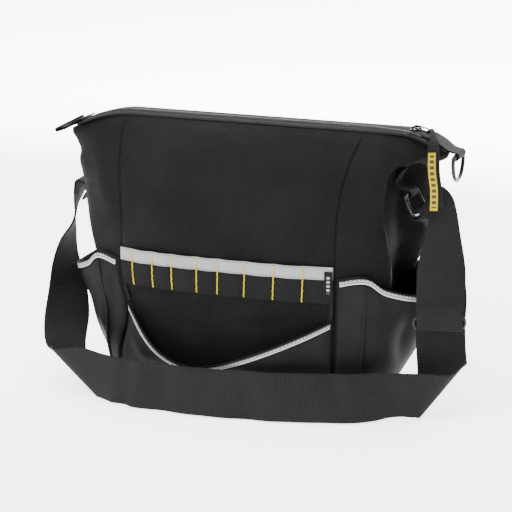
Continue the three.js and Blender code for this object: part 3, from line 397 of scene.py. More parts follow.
class Finish:
    """One material: node() adds any node, and shade() sets and links the surface shader."""

    def __init__(self, name):
        self.material = bpy.data.materials.new(name)
        self.material.use_nodes = True
        self.tree = self.material.node_tree
        self.shader = self.tree.nodes["Principled BSDF"]

    def node(self, kind, settings=None, inputs=None):
        made = self.tree.nodes.new(kind)
        for key, value in (settings or {}).items():
            setattr(made, key, value)
        for key, value in (inputs or {}).items():
            self.put(made.inputs[key], value)
        return made

    def put(self, socket, value):
        if isinstance(value, Number):
            value = value.socket
        if isinstance(value, bpy.types.NodeSocket):
            self.tree.links.new(value, socket)
        else:
            socket.default_value = value

    def number(self, kind, settings=None, inputs=None, output=0):
        return Number(self, self.node(kind, settings, inputs).outputs[output])

    def place(self, kind="UV"):
        """The coordinates of a place, and its three numbers."""
        socket = self.node("ShaderNodeTexCoord").outputs[kind]
        split = self.node("ShaderNodeSeparateXYZ", None, {0: socket})
        return socket, [Number(self, o) for o in split.outputs]

    def noise(self, scale, detail=3.0, rough=0.55, stretch=(1, 1, 1), kind="Object"):
        """Noise on stretched coordinates, from 0 to 1."""
        socket = self.node("ShaderNodeTexCoord").outputs[kind]
        mapped = self.node("ShaderNodeMapping", None, {"Vector": socket, "Scale": stretch}).outputs[0]
        inputs = {"Vector": mapped, "Scale": scale, "Detail": detail, "Roughness": rough}
        return self.number("ShaderNodeTexNoise", None, inputs)

    def mix(self, share, first, second):
        """Colour between first and second."""
        made = self.node("ShaderNodeMix", {"data_type": "RGBA"})
        self.put(made.inputs["Factor"], share)
        for socket, value in ((made.inputs[6], first), (made.inputs[7], second)):
            self.put(socket, value)
        return made.outputs[2]

    def bump(self, height, distance, strength=1.0, under=None):
        """Normal from a height, in metres of distance."""
        inputs = {"Height": height, "Distance": distance, "Strength": strength}
        if under is not None:
            inputs["Normal"] = under
        return self.node("ShaderNodeBump", None, inputs).outputs[0]

    def shade(self, **inputs):
        """Sets or links the surface shader's inputs, named with _ for a space."""
        for key, value in inputs.items():
            self.put(self.shader.inputs[key.replace("_", " ")], value)
        return self.material


def grey(value, tint=(1.0, 1.0, 1.0)):
    """A colour from one brightness and a tint."""
    return (value * tint[0], value * tint[1], value * tint[2], 1.0)


def ripples(coordinate, pitch):
    """Sine of a coordinate with that pitch, from 0 to 1."""
    return (coordinate * (2 * math.pi / pitch)).sine() * 0.5 + 0.5


def ripstop(name, dark, light, pitch=0.0027):
    """Plain weave with a raised thread every pitch both ways; cloudy wear and faint dust vary the black."""
    f = Finish(name)
    _, (u, v, _) = f.place()
    raised = []
    for c in (u, v):
        near = abs((c / pitch).part() - 0.5) * 2
        raised.append(1 - near.ramp(0.0, 0.42))
    grid = raised[0].math("MAXIMUM", raised[1])
    weave = ripples(u, 0.00055) * ripples(v, 0.00055)
    clouds = f.noise(16, 4).ramp(0.30, 0.72)
    dust = f.noise(170, 2).ramp(0.45, 0.85)
    tint = f.mix(clouds * 0.6 + dust * 0.25, grey(dark, (0.97, 1.0, 1.0)), grey(light, (0.97, 1.01, 1.0)))
    tint = f.mix(grid * 0.40, tint, grey(light * 1.9, (0.98, 1.0, 1.0)))
    height = grid * 0.7 + weave * 0.25 + f.noise(60, 3) * 1.1
    return f.shade(
        Specular_IOR_Level=0.07,
        Base_Color=tint,
        Roughness=0.74 - clouds * 0.10 - grid * 0.08,
        Normal=f.bump(height, 0.0005, 0.75),
    )


def coated(name, dark, light):
    """Coated cloth: fine leathery grain, satin, a little green in the grey, rubbed lighter in clouds."""
    f = Finish(name)
    grain = f.noise(900, 2, 0.5)
    clouds = f.noise(14, 4).ramp(0.32, 0.70)
    rubbed = f.noise(45, 3, 0.6, (1, 1, 0.35)).ramp(0.55, 0.80)
    tint = f.mix(clouds, grey(dark, (0.90, 1.0, 0.95)), grey(light, (0.92, 1.02, 0.97)))
    tint = f.mix(rubbed * 0.25, tint, grey(light * 1.35, (0.95, 1.0, 0.98)))
    height = grain * 0.5 + f.noise(70, 3) * 1.2
    return f.shade(
        Specular_IOR_Level=0.04,
        Base_Color=tint,
        Roughness=0.52 + clouds * 0.10 - rubbed * 0.06,
        Normal=f.bump(height, 0.0004, 0.5),
    )


def webbing(name, dark, light, rib=0.0021):
    """Ribbed webbing: cross ribs along the length, a finer weave across and rib tops painted lighter, a
    painted highlight.
    """
    f = Finish(name)
    _, (u, v, _) = f.place()
    ribs = ripples(v, rib)
    weave = ripples(u + ribs * 0.0003, 0.0016)
    clouds = f.noise(22, 4).ramp(0.3, 0.7)
    fuzz = f.noise(420, 2)
    top = ribs * 0.6 + weave * 0.4
    tint = f.mix(clouds * 0.5 + fuzz * 0.2, grey(dark), grey(light))
    # painted highlight: the rib tops are painted lighter where they stand up
    tint = f.mix(top.ramp(0.45, 1.0) * 0.45, tint, grey(light * 1.9, (1.0, 1.0, 1.01)))
    return f.shade(
        Specular_IOR_Level=0.10,
        Base_Color=tint,
        Roughness=0.84 - top * 0.12,
        Normal=f.bump(top + fuzz * 0.4, 0.0007, 0.8),
    )


def binding(name, dark, light):
    """Narrow woven tape: fine ribs across its length and a soft fuzz."""
    f = Finish(name)
    _, (u, v, _) = f.place()
    ribs = ripples(v, 0.0011) * ripples(u, 0.0014)
    fuzz = f.noise(350, 2)
    return f.shade(
        Specular_IOR_Level=0.10,
        Base_Color=f.mix(ribs * 0.5 + fuzz * 0.3, grey(dark), grey(light)),
        Roughness=0.86 - ribs * 0.1,
        Normal=f.bump(ribs + fuzz * 0.5, 0.0003, 0.5),
    )


def trim_stripe(name, wide):
    """Reflective piping tape: a bright cord line below, a thin dark line, then grey with a toothed edge."""
    f = Finish(name)
    _, (u, v, _) = f.place()
    across = u / wide
    teeth = abs((v / 0.0042).part() - 0.5) * 2
    toothed = (across + teeth * 0.36) > 1.03
    line = across.ramp(0.26, 0.32) - across.ramp(0.46, 0.54)
    bright = 1 - across.ramp(0.24, 0.30)
    weave = ripples(v, 0.0012)
    tint = f.mix(bright, grey(0.30, (0.98, 1.0, 1.0)), grey(0.50, (0.98, 1.0, 1.0)))
    tint = f.mix(line * 0.92, tint, grey(0.012))
    tint = f.mix(toothed * 0.92, tint, grey(0.012))
    tint = f.mix(weave * 0.22, tint, grey(0.10))
    return f.shade(
        Base_Color=tint,
        Roughness=0.55 - bright * 0.15,
        Normal=f.bump(weave + bright * 2.0, 0.0003, 0.5),
    )


def reflective(name):
    """Silver tape of fine beads: even grey with tiny cells and faint rubs."""
    f = Finish(name)
    _, (u, v, _) = f.place()
    cells = ripples(u + v, 0.0016) * ripples(u - v, 0.0016)
    rubs = f.noise(40, 4, 0.6, (0.4, 1, 1)).ramp(0.5, 0.8)
    tint = f.mix(rubs * 0.5 + cells * 0.35, grey(0.23, (0.98, 1.0, 1.02)), grey(0.14, (0.98, 1.0, 1.02)))
    return f.shade(Base_Color=tint, Roughness=0.48 + rubs * 0.15, Normal=f.bump(cells, 0.0002, 0.5))


def thread(name, colour, deep):
    """Twisted thread: slanting plies and a slight change of colour."""
    f = Finish(name)
    _, (x, y, z) = f.place("Object")
    plies = ripples(x + y + z, 0.0009)
    tint = f.mix(plies * 0.35 + f.noise(60, 2) * 0.3, colour, deep)
    return f.shade(Specular_IOR_Level=0.15, Base_Color=tint, Roughness=0.6, Normal=f.bump(plies, 0.0002, 0.5))


def black_metal(name, base, gloss):
    """Black plated metal: glossy, with soft mottling, small scratches and brighter rubbed places."""
    f = Finish(name)
    mottled = f.noise(120, 3)
    scratches = f.noise(700, 2, 0.5, (1, 1, 0.1)).ramp(0.60, 0.75)
    tint = f.mix(scratches * 0.5, grey(base), grey(0.10))
    return f.shade(
        Metallic=0.3,
        Specular_IOR_Level=gloss,
        Base_Color=tint,
        Roughness=0.22 + mottled * 0.14,
        Normal=f.bump(mottled, 0.0001, 0.2),
    )


def pull_label_finish(name, wide, long):
    """Yellow rubbery label with a black edge and plain black bars down its middle."""
    f = Finish(name)
    _, (u, v, _) = f.place()
    across, down = u / wide, v / long
    middle = abs(across - 0.5) * 2
    ends = abs(down - 0.5) * 2
    edge = middle.ramp(0.84, 0.92).math("MAXIMUM", ends.ramp(0.960, 0.975))
    bar = ((v / 0.0058).part() > 0.40) * (1 - middle.ramp(0.50, 0.56)) * (1 - ends.ramp(0.88, 0.90))
    wear = f.noise(90, 3)
    tint = f.mix(wear * 0.4, (0.36, 0.27, 0.0002, 1), (0.30, 0.22, 0.0002, 1))
    tint = f.mix(edge, tint, grey(0.016))
    tint = f.mix(bar * 0.92, tint, grey(0.02))
    return f.shade(
        Specular_IOR_Level=0.08,
        Base_Color=tint,
        Roughness=0.50 + wear * 0.1,
        Normal=f.bump(1 - edge - bar * 0.5, 0.0003, 0.4),
    )


def woven_label_finish(name, wide, tall):
    """Black woven label with plain pale bars down its middle."""
    f = Finish(name)
    _, (u, v, _) = f.place()
    middle = abs(u / wide - 0.5) * 2
    ends = abs(v / tall - 0.5) * 2
    bars = ((v / 0.0042).part() > 0.42) * (1 - middle.ramp(0.34, 0.44)) * (1 - ends.ramp(0.68, 0.72))
    weave = ripples(u, 0.0008) * ripples(v, 0.0008)
    tint = f.mix(bars * 0.8, grey(0.006), grey(0.30))
    return f.shade(
        Specular_IOR_Level=0.1,
        Base_Color=tint,
        Roughness=0.8 - bars * 0.1,
        Normal=f.bump(weave, 0.0002, 0.4),
    )


def floor_finish(name):
    """Pale matt studio floor with a barely uneven tone."""
    f = Finish(name)
    tone = f.noise(3, 2)
    return f.shade(
        Base_Color=f.mix(tone, grey(0.92), grey(0.94)),
        Roughness=0.75 + tone * 0.05,
        Emission_Color=grey(1.0),
        Emission_Strength=2.2,
    )


CLOTH = ripstop("black_ripstop", 0.0027, 0.0052)
COATED = coated("coated_cloth", 0.0066, 0.0108)
STRAP_WEB = webbing("strap_webbing", 0.0064, 0.0106, 0.0025)
LOOP_WEB = webbing("loop_webbing", 0.0045, 0.0080, 0.0016)
TAB_WEB = webbing("tab_webbing", 0.0055, 0.0100, 0.0018)
BINDING = binding("black_binding", 0.0045, 0.0100)
ZIP_TAPE = binding("zip_tape_weave", 0.0050, 0.0100)
STRIPE_TALL = 0.005
TRIM = trim_stripe("reflective_trim", STRIPE_TALL)
SILVER = reflective("silver_tape")
YELLOW_THREAD = thread("yellow_thread", (0.58, 0.42, 0.002, 1), (0.44, 0.31, 0.002, 1))
GREY_THREAD = thread("grey_thread", grey(0.022), grey(0.012))
BLACK_THREAD = thread("black_thread", grey(0.0045), grey(0.0025))
TOOTH_GREY = thread("zip_teeth_grey", grey(0.12), grey(0.06))
METAL = black_metal("black_metal", 0.010, 0.30)
SLIDER_METAL = black_metal("slider_metal", 0.005, 0.06)


def dress(piece, material, slot_name, *nodes, body="bag"):
    """Gives a piece its material and body, and lets it stand for CAD nodes, which it hides; slot_name is not
    used.
    """
    piece.data.materials.clear()
    piece.data.materials.append(material)
    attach(piece, body)
    if nodes:
        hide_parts(*nodes)
    return piece


# Body

# Rings that close the body: shares of the depth and lifts above the ridge, and shares of the base's ring
TURNED_IN = [(0.93, 0.0002), (0.75, 0.0001), (0.3, -0.0006)]
TUCKED_UP, BASE_LIFT = (0.5, 0.97), 0.0004
SHELL_ROWS, FACE_COLUMNS, SIDE_COLUMNS = 120, 84, 60
SEAM_GROOVE, SEAM_WIDE = 0.0011, 0.0012
PUFF, PUFF_REACH = 0.0013, 0.011


def gathered(t, share=0.85):
    """Even steps drawn together towards both ends: t less share of a sine wave."""
    return t - share * np.sin(2 * math.pi * t) / (2 * math.pi)


def shell_grid():
    """Rows of the four sides one after another, from the middle of the left side round the front: every row
    a ring at one height share, its columns close together at the seams. Also the distance to the nearest
    seam."""
    rows = gathered(np.linspace(0, 1, SHELL_ROWS), 0.5)
    share = (0.0035 + (TOP_SHARE - 0.0035) * rows)[:, None]
    face, side = (gathered(np.linspace(-1, 1, n) / 2 + 0.5) * 2 - 1 for n in (FACE_COLUMNS, SIDE_COLUMNS))
    quarters = [
        face_point(-1, face[None], share),
        side_point(1, side[None], share),
        face_point(1, -face[None], share),
        side_point(-1, -side[None], share),
    ]
    grids, seams = [], []
    for q in quarters:
        far = lengths_along(q, 1)
        grids.append(q[:, :-1])
        seams.append(np.minimum(far, far[:, -1:] - far)[:, :-1])
    turn = (SIDE_COLUMNS - 1) // 2
    return tuple(np.roll(np.concatenate(parts, axis=1), turn, axis=1) for parts in (grids, seams))


def waves(grid, parts):
    """Sum of sine waves over a grid: each part is height, wavelengths along x, y, z and a phase."""
    total = np.zeros(grid.shape[:2])
    for height, *wavelengths, phase in parts:
        total += height * np.sin(2 * math.pi * (grid / wavelengths).sum(axis=-1) + phase)
    return total


def crease(grid, start, end, wide, deep):
    """A crease: deep times a bell of the distance to the line from start to end, faded towards its ends."""
    start, end = np.array(start, float), np.array(end, float)
    line = end - start
    t = np.clip(((grid - start) @ line) / (line @ line), 0, 1)
    away = np.linalg.norm(grid - (start + t[..., None] * line), axis=-1)
    return deep * np.exp(-((away / wide) ** 2)) * np.sin(math.pi * np.clip(t, 0.02, 0.98)) ** 0.5


CLOTH_WAVES = [
    (0.0007, 0.140, 0.9, 0.110, 0.4),
    (0.0005, -0.083, 0.5, 0.190, 1.9),
    (0.0004, 0.052, -0.3, 0.075, 0.8),
    (0.0003, 0.9, 0.047, 0.090, 2.6),
]
BODY_CREASES = [
    ((0.190, -0.020, 0.255), (0.150, -0.056, 0.190), 0.008, -0.0022),
    ((0.196, -0.012, 0.262), (0.165, -0.048, 0.225), 0.006, -0.0018),
    ((0.170, -0.050, 0.200), (0.150, -0.068, 0.120), 0.009, -0.0020),
    ((0.110, -0.074, 0.190), (0.104, -0.081, 0.120), 0.010, 0.0012),
    ((-0.130, -0.070, 0.235), (-0.125, -0.082, 0.120), 0.009, -0.0014),
    ((-0.185, -0.030, 0.255), (-0.150, -0.062, 0.180), 0.010, -0.0016),
    ((-0.060, -0.050, 0.262), (-0.045, -0.075, 0.200), 0.016, -0.0008),
    ((0.040, -0.083, 0.112), (-0.060, -0.083, 0.092), 0.007, -0.0016),
    ((0.085, -0.081, 0.105), (0.010, -0.083, 0.080), 0.006, -0.0012),
    ((-0.090, -0.080, 0.104), (-0.030, -0.083, 0.070), 0.006, -0.0012),
]


SWELL_FRAMES, SWELL_PRESSURE, SWELL_MOST = 20, 12.0, 0.0018
SWELL_FROM, SWELL_FULL = 0.57, 0.68


def swelling(grid, normals, turned):
    """How far the padding swells the body above the band, from cloth under pressure: a copy of every second
    row and column is simulated with its low rows and its ridge held, its moves along the normals are brought
    to at most SWELL_MOST, faded out below and at the ridge, and spread over the grid by linear steps."""
    rows, columns = grid.shape[:2]
    start = grid[::2, ::2]
    n, m, _ = start.shape
    k, r = np.meshgrid(np.arange(m), np.arange(n - 1))
    quads = np.stack([r * m + k, r * m + (k + 1) % m, (r + 1) * m + (k + 1) % m, (r + 1) * m + k], axis=-1)
    quads = quads.reshape(-1, 4)
    study = mesh_object("cloth_study", start.reshape(-1, 3), quads[:, ::-1] if turned else quads)
    share = start[..., 2].mean(axis=1) / HEIGHT
    sewn = np.nonzero((share < SWELL_FROM) | (np.arange(n) > n - 3))[0]
    held = study.vertex_groups.new(name="sewn")
    held.add((sewn[:, None] * m + np.arange(m)).ravel().tolist(), 1.0, "REPLACE")
    cloth = study.modifiers.new("cloth", "CLOTH")
    cloth.settings.vertex_group_mass = "sewn"
    cloth.settings.use_pressure = True
    cloth.settings.uniform_pressure_force = SWELL_PRESSURE
    cloth.settings.effector_weights.gravity = 0
    cloth.point_cache.frame_end = SWELL_FRAMES
    for step in range(1, SWELL_FRAMES + 1):
        bpy.context.scene.frame_set(step)
    solved = study.evaluated_get(bpy.context.evaluated_depsgraph_get()).to_mesh()
    found = np.empty(n * m * 3, dtype=np.float32)
    solved.vertices.foreach_get("co", found)
    bpy.context.scene.frame_set(1)
    bpy.data.objects.remove(study)
    move = np.einsum("ijk,ijk->ij", found.reshape(n, m, 3) - start, normals[::2, ::2])
    large = max(float(np.percentile(move, 98)), 1e-6)
    move = np.clip(move * min(1.0, SWELL_MOST / large), -SWELL_MOST, SWELL_MOST)
    at = np.minimum(np.arange(rows) / 2, n - 1)
    low = np.minimum(at.astype(int), n - 2)
    move = move[low] + (move[low + 1] - move[low]) * (at - low)[:, None]
    half = np.roll(move, -1, axis=1)
    move = np.stack([move, (move + half) / 2], axis=-1).reshape(rows, -1)[:, :columns]
    share = grid[..., 2] / HEIGHT
    near_ridge = smooth(np.clip((1 - np.linspace(0, 1, rows)) * 10, 0, 1))[:, None]
    return move * smooth(np.clip((share - SWELL_FROM) / (SWELL_FULL - SWELL_FROM), 0, 1)) * near_ridge


def bag_shell():
    """Padded body: the grid of its four sides moved along its normals by the swelling of its padding, a
    groove at each seam, a puff beside it, puckers along it, broad waves and creases; the top turns in under
    the zip and the base closes below."""
    grid, seam = shell_grid()
    normals = grid_normals(grid, ring=True)
    turned = np.einsum("ij,ij->", normals[SHELL_ROWS // 2], grid[SHELL_ROWS // 2]) < 0
    normals = -normals if turned else normals
    rise = grid[..., 2]
    groove = -SEAM_GROOVE * np.exp(-((seam / SEAM_WIDE) ** 2))
    puff = PUFF * (1 - np.exp(-seam / PUFF_REACH))
    pucker = 0.0004 * np.exp(-seam / 0.007) * np.sin(2 * math.pi * rise / 0.012 + 1.4 * np.sin(rise / 0.009))
    relief = groove + puff + pucker + waves(grid, CLOTH_WAVES) + swelling(grid, normals, turned)
    for start, end, wide, deep in BODY_CREASES:
        relief = relief + crease(grid, start, end, wide, deep)
    up = np.linspace(0, 1, SHELL_ROWS)
    fade = smooth(np.clip(up * 9, 0, 1)) * smooth(np.clip((1 - up) * 14, 0, 1))
    grid = grid + normals * (relief * fade[:, None])[..., None]
    top, low = grid[-1], grid[0]
    turned_in = [top * [1, k, 1] + [0, 0, lift] for k, lift in TURNED_IN]
    tucked_up = [low * [k, k, 0] + [0, 0, BASE_LIFT] for k in TUCKED_UP]
    rings = np.concatenate([np.array(tucked_up), grid, np.array(turned_in)])
    shell = lofted("bag_shell", rings, uv=shell_uv(rings))
    dress(shell, CLOTH, "ripstop", "front_panel", "back_panel", "left_gusset", "right_gusset", "base_panel")
    return shell


def shell_uv(rings):
    """Metres round each ring from the middle of the front, and metres up the front."""
    loop = np.concatenate([rings, rings[:, :1]], axis=1)
    around = lengths_along(loop, 1)
    middle = (SIDE_COLUMNS - 1) // 2 + FACE_COLUMNS // 2
    around = around - around[:, middle: middle + 1]
    up = lengths_along(rings, 0)[:, middle]
    uv = np.stack([around, np.broadcast_to(up[:, None], around.shape)], axis=-1)
    return np.concatenate([uv, uv[-1:]])


bag = bag_shell()


# Pockets

FRONT_GAPE, SIDE_GAPE = 0.034, 0.027
POCKET_WALL, POCKET_CLEARANCE = 0.0018, 0.0014
BINDING_TALL, BINDING_THICK, STRIPE_DROP, TRIM_THICK = 0.008, 0.003, 0.002, 0.0007
FRONT_HEM = SimpleNamespace(left=0.350, right=0.350, low=0.165, at=-0.22, ease_left=1.9, ease_right=1.25)
SIDE_HEM = {
    "turn": [-1.00, -0.78, -0.64, -0.30, 0.10, 0.60, 1.00],
    "share": [0.500, 0.512, 0.470, 0.430, 0.420, 0.458, 0.505],
}
POCKET_LOW = 0.004
POCKET_EDGE = 0.985


def front_hem(across):
    """Height of the front pocket's hem: a power of the way from its lowest place to each seam."""
    h = FRONT_HEM
    to_left = np.maximum((h.at - across) / (1 + h.at), 0) ** h.ease_left
    to_right = np.maximum((across - h.at) / (1 - h.at), 0) ** h.ease_right
    rise = np.where(across < h.at, (h.left - h.low) * to_left, (h.right - h.low) * to_right)
    return (h.low + rise) * HEIGHT


def front_pocket_point(across, z, out):
    """Front pocket: the body's front moved forward by a gape that grows with height, none at the seams."""
    reach = np.clip(z / front_hem(across), 0, 1)
    gape = FRONT_GAPE * np.maximum(1 - across**2, 0) ** 0.8 * reach**1.4
    return face_point(-1, across, z / HEIGHT) - vectors(0, POCKET_CLEARANCE + gape + out, 0)


def side_hem(turn):
    """Height of a side pocket's hem: a curve that drops past the front corner and sags in the middle."""
    return through(SIDE_HEM["turn"], SIDE_HEM["share"], turn) * HEIGHT


def side_pocket_point(side, turn, z, out):
    """Side pocket: the body's unfolded side grown by a gape that grows with height, widest in the middle."""
    reach = np.clip(z / side_hem(turn), 0, 1)
    gape = SIDE_GAPE * np.cos((math.pi / 2) * turn) ** 2 * reach
    return side_point(side, turn, z / HEIGHT, POCKET_CLEARANCE + gape + out, folded=False)


def pocket(name, point, hem, columns, dents):
    """A pocket's sheet with its dents, the binding over its hem and the trim on the binding's face."""
    places = np.linspace(-POCKET_EDGE, POCKET_EDGE, columns)[None]
    low, high = POCKET_LOW * HEIGHT, hem(places)
    binding_low = high - BINDING_TALL
    t = np.linspace(0, 1, 40)[:, None]
    z = low + (binding_low - TOUCH_GAP - low) * t
    outer, inner = (point(places, z, out) for out in (POCKET_WALL, 0))
    normals = grid_normals(outer)
    away = np.sign(np.einsum("ijk,ijk->", normals, outer * [1, 1, 0]))
    relief = waves(outer, POCKET_WAVES)
    for start, end, wide, deep in dents:
        relief = relief + crease(outer, start, end, wide, deep)
    fade = smooth(np.clip((1 - np.abs(places)) * 9, 0, 1)) * smooth(np.clip(t * 6, 0, 1))
    shift = away * normals * (relief * fade)[..., None]
    sheet = lofted(f"{name}_cloth", sheet_rings(outer + shift, inner + shift), sharp=50)
    dress(sheet, COATED, "coated_cloth", name)
    proud = (BINDING_THICK - POCKET_WALL) / 2
    face = POCKET_WALL + proud
    edge = lofted(f"{name}_edge_binding", binding_rings(point, places[0], binding_low[0], high[0], proud))
    dress(edge, BINDING, "binding", f"{name}_binding")
    trim = lofted(f"{name}_trim", trim_rings(point, places[0], high[0] - STRIPE_DROP, face + TOUCH_GAP))
    dress(trim, TRIM, "reflective", f"{name}_stripe")
    stitch_row(f"{name}_binding_stitches", point(places[0], binding_low[0] + 0.0006, face + 0.0001), 0.0030)
    wide = lengths_along(point(places, high * 0.6, 0), 1).max()
    tall = float(high.max() - low)
    area = float(((high - low).mean() * wide))
    return sheet


def binding_rings(point, places, low, high, proud):
    """Binding folded over the hem: at each place a round-edged loop from its low edge over and back."""
    t = np.linspace(0, math.pi, 9)
    middle, half = (low + high) / 2, (high - low) / 2
    squared = np.sign(np.cos(t)) * np.abs(np.cos(t)) ** 0.5
    bulge = np.sin(t) ** 0.35
    centre, deep = POCKET_WALL / 2, POCKET_WALL / 2 + proud
    loops = []
    for sign in (1, -1):
        for k in range(9):
            i = k if sign > 0 else 8 - k
            out = centre + sign * deep * max(bulge[i], 0.15)
            loops.append(point(places, middle - half * squared[i], out))
    return np.stack(loops, axis=1)


def trim_rings(point, places, high, out):
    """Flat trim: at each place a thin loop whose outer face runs from the low edge up."""
    corners = [(0, TRIM_THICK), (1, TRIM_THICK), (1, 0), (0, 0)]
    return np.stack([point(places, high - STRIPE_TALL * (1 - k), out + o) for k, o in corners], axis=1)


def stitch_row(name, path, pitch, material=None, length=0.0019, thick=0.0006, slot_name="binding"):
    """Stitches along a line of points: pills a pitch apart, laid along it."""
    far = lengths_along(path[None], 1)[0]
    at = np.arange(pitch, far[-1] - pitch, pitch)
    centres = np.stack([np.interp(at, far, path[:, i]) for i in range(3)], axis=-1)
    ahead = np.stack([np.interp(at + pitch / 3, far, path[:, i]) for i in range(3)], axis=-1)
    along = unit(ahead - centres)
    side = unit(np.cross(along, np.broadcast_to([0.0, 0.0, 1.0], along.shape) + 1e-6))
    made = repeated(name, centres, along, side, pill(length, thick, thick))
    return dress(made, material or GREY_THREAD, slot_name)


POCKET_WAVES = [
    (0.0007, 0.070, 0.09, 0.120, 0.3),
    (0.0005, -0.045, 0.15, 0.080, 1.2),
]
FRONT_DENTS = [
    ((-0.112, -0.070, 0.078), (-0.070, -0.098, 0.030), 0.010, 0.0030),
    ((-0.090, -0.080, 0.060), (-0.060, -0.095, 0.012), 0.008, -0.0030),
    ((0.020, -0.105, 0.052), (0.085, -0.085, 0.020), 0.012, 0.0026),
    ((0.050, -0.100, 0.060), (0.100, -0.080, 0.050), 0.008, -0.0020),
    ((-0.020, -0.105, 0.045), (0.030, -0.095, 0.008), 0.010, -0.0018),
]
RIGHT_DENTS = [
    ((0.150, -0.062, 0.112), (0.148, -0.062, 0.010), 0.005, 0.0022),
    ((0.158, -0.052, 0.100), (0.190, -0.015, 0.030), 0.014, -0.0060),
    ((0.172, -0.045, 0.118), (0.182, -0.030, 0.060), 0.008, -0.0034),
    ((0.118, -0.076, 0.118), (0.140, -0.070, 0.070), 0.010, 0.0016),
]
LEFT_DENTS = [
    ((-0.150, -0.062, 0.120), (-0.148, -0.060, 0.010), 0.006, 0.0022),
    ((-0.165, -0.045, 0.110), (-0.185, -0.010, 0.040), 0.014, -0.0040),
    ((-0.128, -0.074, 0.130), (-0.138, -0.070, 0.060), 0.007, -0.0020),
]

pocket("front_pocket", front_pocket_point, front_hem, 90, FRONT_DENTS)
for side, side_name, dents in ((-1, "left", LEFT_DENTS), (1, "right", RIGHT_DENTS)):
    pocket(f"{side_name}_pocket", partial(side_pocket_point, side), side_hem, 90, dents)


CORNER_TURN = -0.775


def corner_seam(side_name, side):
    """Folded seam up a side pocket's front corner: a narrow round-edged band at one place round the side."""
    low, high = POCKET_LOW * HEIGHT, side_hem(CORNER_TURN) - BINDING_TALL
    z = low + (high - low) * np.linspace(0.02, 0.985, 90)
    points = side_pocket_point(side, CORNER_TURN, z, POCKET_WALL + 0.0004)
    beside = side_pocket_point(side, CORNER_TURN + 0.02, z, POCKET_WALL + 0.0004)
    spread = unit(beside - points) * 0.0016
    seam = lofted(f"{side_name}_pocket_corner_seam", band_rings(points, spread, 0.0030, edge=0.6, count=9))
    dress(seam, COATED, "coated_cloth")
    row = beside + (beside - points) * 0.4
    stitch_row(f"{side_name}_pocket_corner_stitches", row, 0.0032, BLACK_THREAD, slot_name="coated_cloth")


corner_seam("left", -1)
corner_seam("right", 1)


# Seam bindings, tool loops and labels on the front

LOOP_BULGE = 0.0024
LOOP_LINES = np.array([0.063, 0.163, 0.258, 0.377, 0.475, 0.601, 0.736, 0.869])
BAND_LOW, BAND_TALL, TAPE_TALL = 0.117, 0.038, 0.013
BAND_OFF, BAND_THICK = 0.0008, 0.0015
TAPE_OFF = BAND_OFF + BAND_THICK + TOUCH_GAP
BAND_EDGE = 0.0004 + TOUCH_GAP
TACK_SLANT = 0.03
BAND_SECTION = section_at(np.array(BAND_LOW / HEIGHT))
BAND_LEFT, BAND_RIGHT = -BAND_SECTION.seam_left + BAND_EDGE, BAND_SECTION.seam_right - BAND_EDGE
LOOP_X = BAND_LEFT + (BAND_RIGHT - BAND_LEFT) * LOOP_LINES


def loop_out(x):
    """How far the loops stand out at x: the 0.8th power of a half sine wave between stitched lines."""
    place = np.interp(x, LOOP_X, np.arange(len(LOOP_X)))
    return LOOP_BULGE * np.abs(np.sin(math.pi * place)) ** 0.8


def band_point(x, z, out):
    """Front of the body at x and z, moved forward by out and the loops' bulge."""
    across = x / np.where(x < 0, BAND_SECTION.seam_left, BAND_SECTION.seam_right)
    return face_point(-1, across, z / HEIGHT) - vectors(0, out + loop_out(x), 0)


def band(name, low, high, out, thick, columns=170, rows=5):
    """A strip on the band between two heights, a grid over x and z with its back face behind it."""
    x = np.linspace(BAND_LEFT, BAND_RIGHT, columns)[:, None]
    z = np.linspace(low, high, rows)[None]
    return lofted(name, sheet_rings(band_point(x, z, out + thick), band_point(x, z, out)))


BAND_HIGH = BAND_LOW + BAND_TALL
dress(band("tool_loop_band", BAND_LOW, BAND_HIGH, BAND_OFF, BAND_THICK, rows=9), LOOP_WEB, "webbing",
      "tool_loop_webbing")
dress(band("silver_band", BAND_HIGH - TAPE_TALL, BAND_HIGH, TAPE_OFF, 0.0007), SILVER, "reflective",
      "reflective_tape")


def bar_tacks():
    """Yellow bar tacks between the loops: each a column of stitches that lean left and right in turn."""
    z = np.arange(BAND_LOW + 0.0020, BAND_HIGH - 0.0012, 0.0030)
    x = np.repeat(LOOP_X, len(z))
    height = np.tile(z, len(LOOP_X))
    tilt = np.tile(np.where(np.arange(len(z)) % 2, 0.20, -0.20), len(LOOP_X))
    x = x - TACK_SLANT * (BAND_HIGH - height)
    above_tape = height > BAND_HIGH - TAPE_TALL - 0.0008
    out = np.where(above_tape, TAPE_OFF + 0.0012, BAND_OFF + BAND_THICK + 0.0005)
    centres = band_point(x, height, out - loop_out(x))
    along = vectors(np.sin(tilt), 0, np.cos(tilt))
    side = vectors(np.cos(tilt), 0, -np.sin(tilt))
    return repeated("bar_tacks", centres, along, side, pill(0.0034, 0.0015, 0.0016))


dress(bar_tacks(), YELLOW_THREAD, "yellow_label")
for tag, height in (("upper", BAND_HIGH - 0.0012), ("middle", BAND_HIGH - TAPE_TALL + 0.0012)):
    x = np.linspace(BAND_LEFT + 0.001, BAND_RIGHT - 0.001, 240)
    stitch_row(f"tape_stitches_{tag}", band_point(x, height, TAPE_OFF + 0.0009), 0.0034, length=0.0020)
x = np.linspace(BAND_LEFT + 0.001, BAND_RIGHT - 0.001, 240)
foot = band_point(x, BAND_LOW + 0.0016, BAND_OFF + BAND_THICK + 0.0002)
stitch_row("band_foot_stitches", foot, 0.0034, BLACK_THREAD)

LABEL_WIDE, LABEL_TALL = 0.008, 0.026


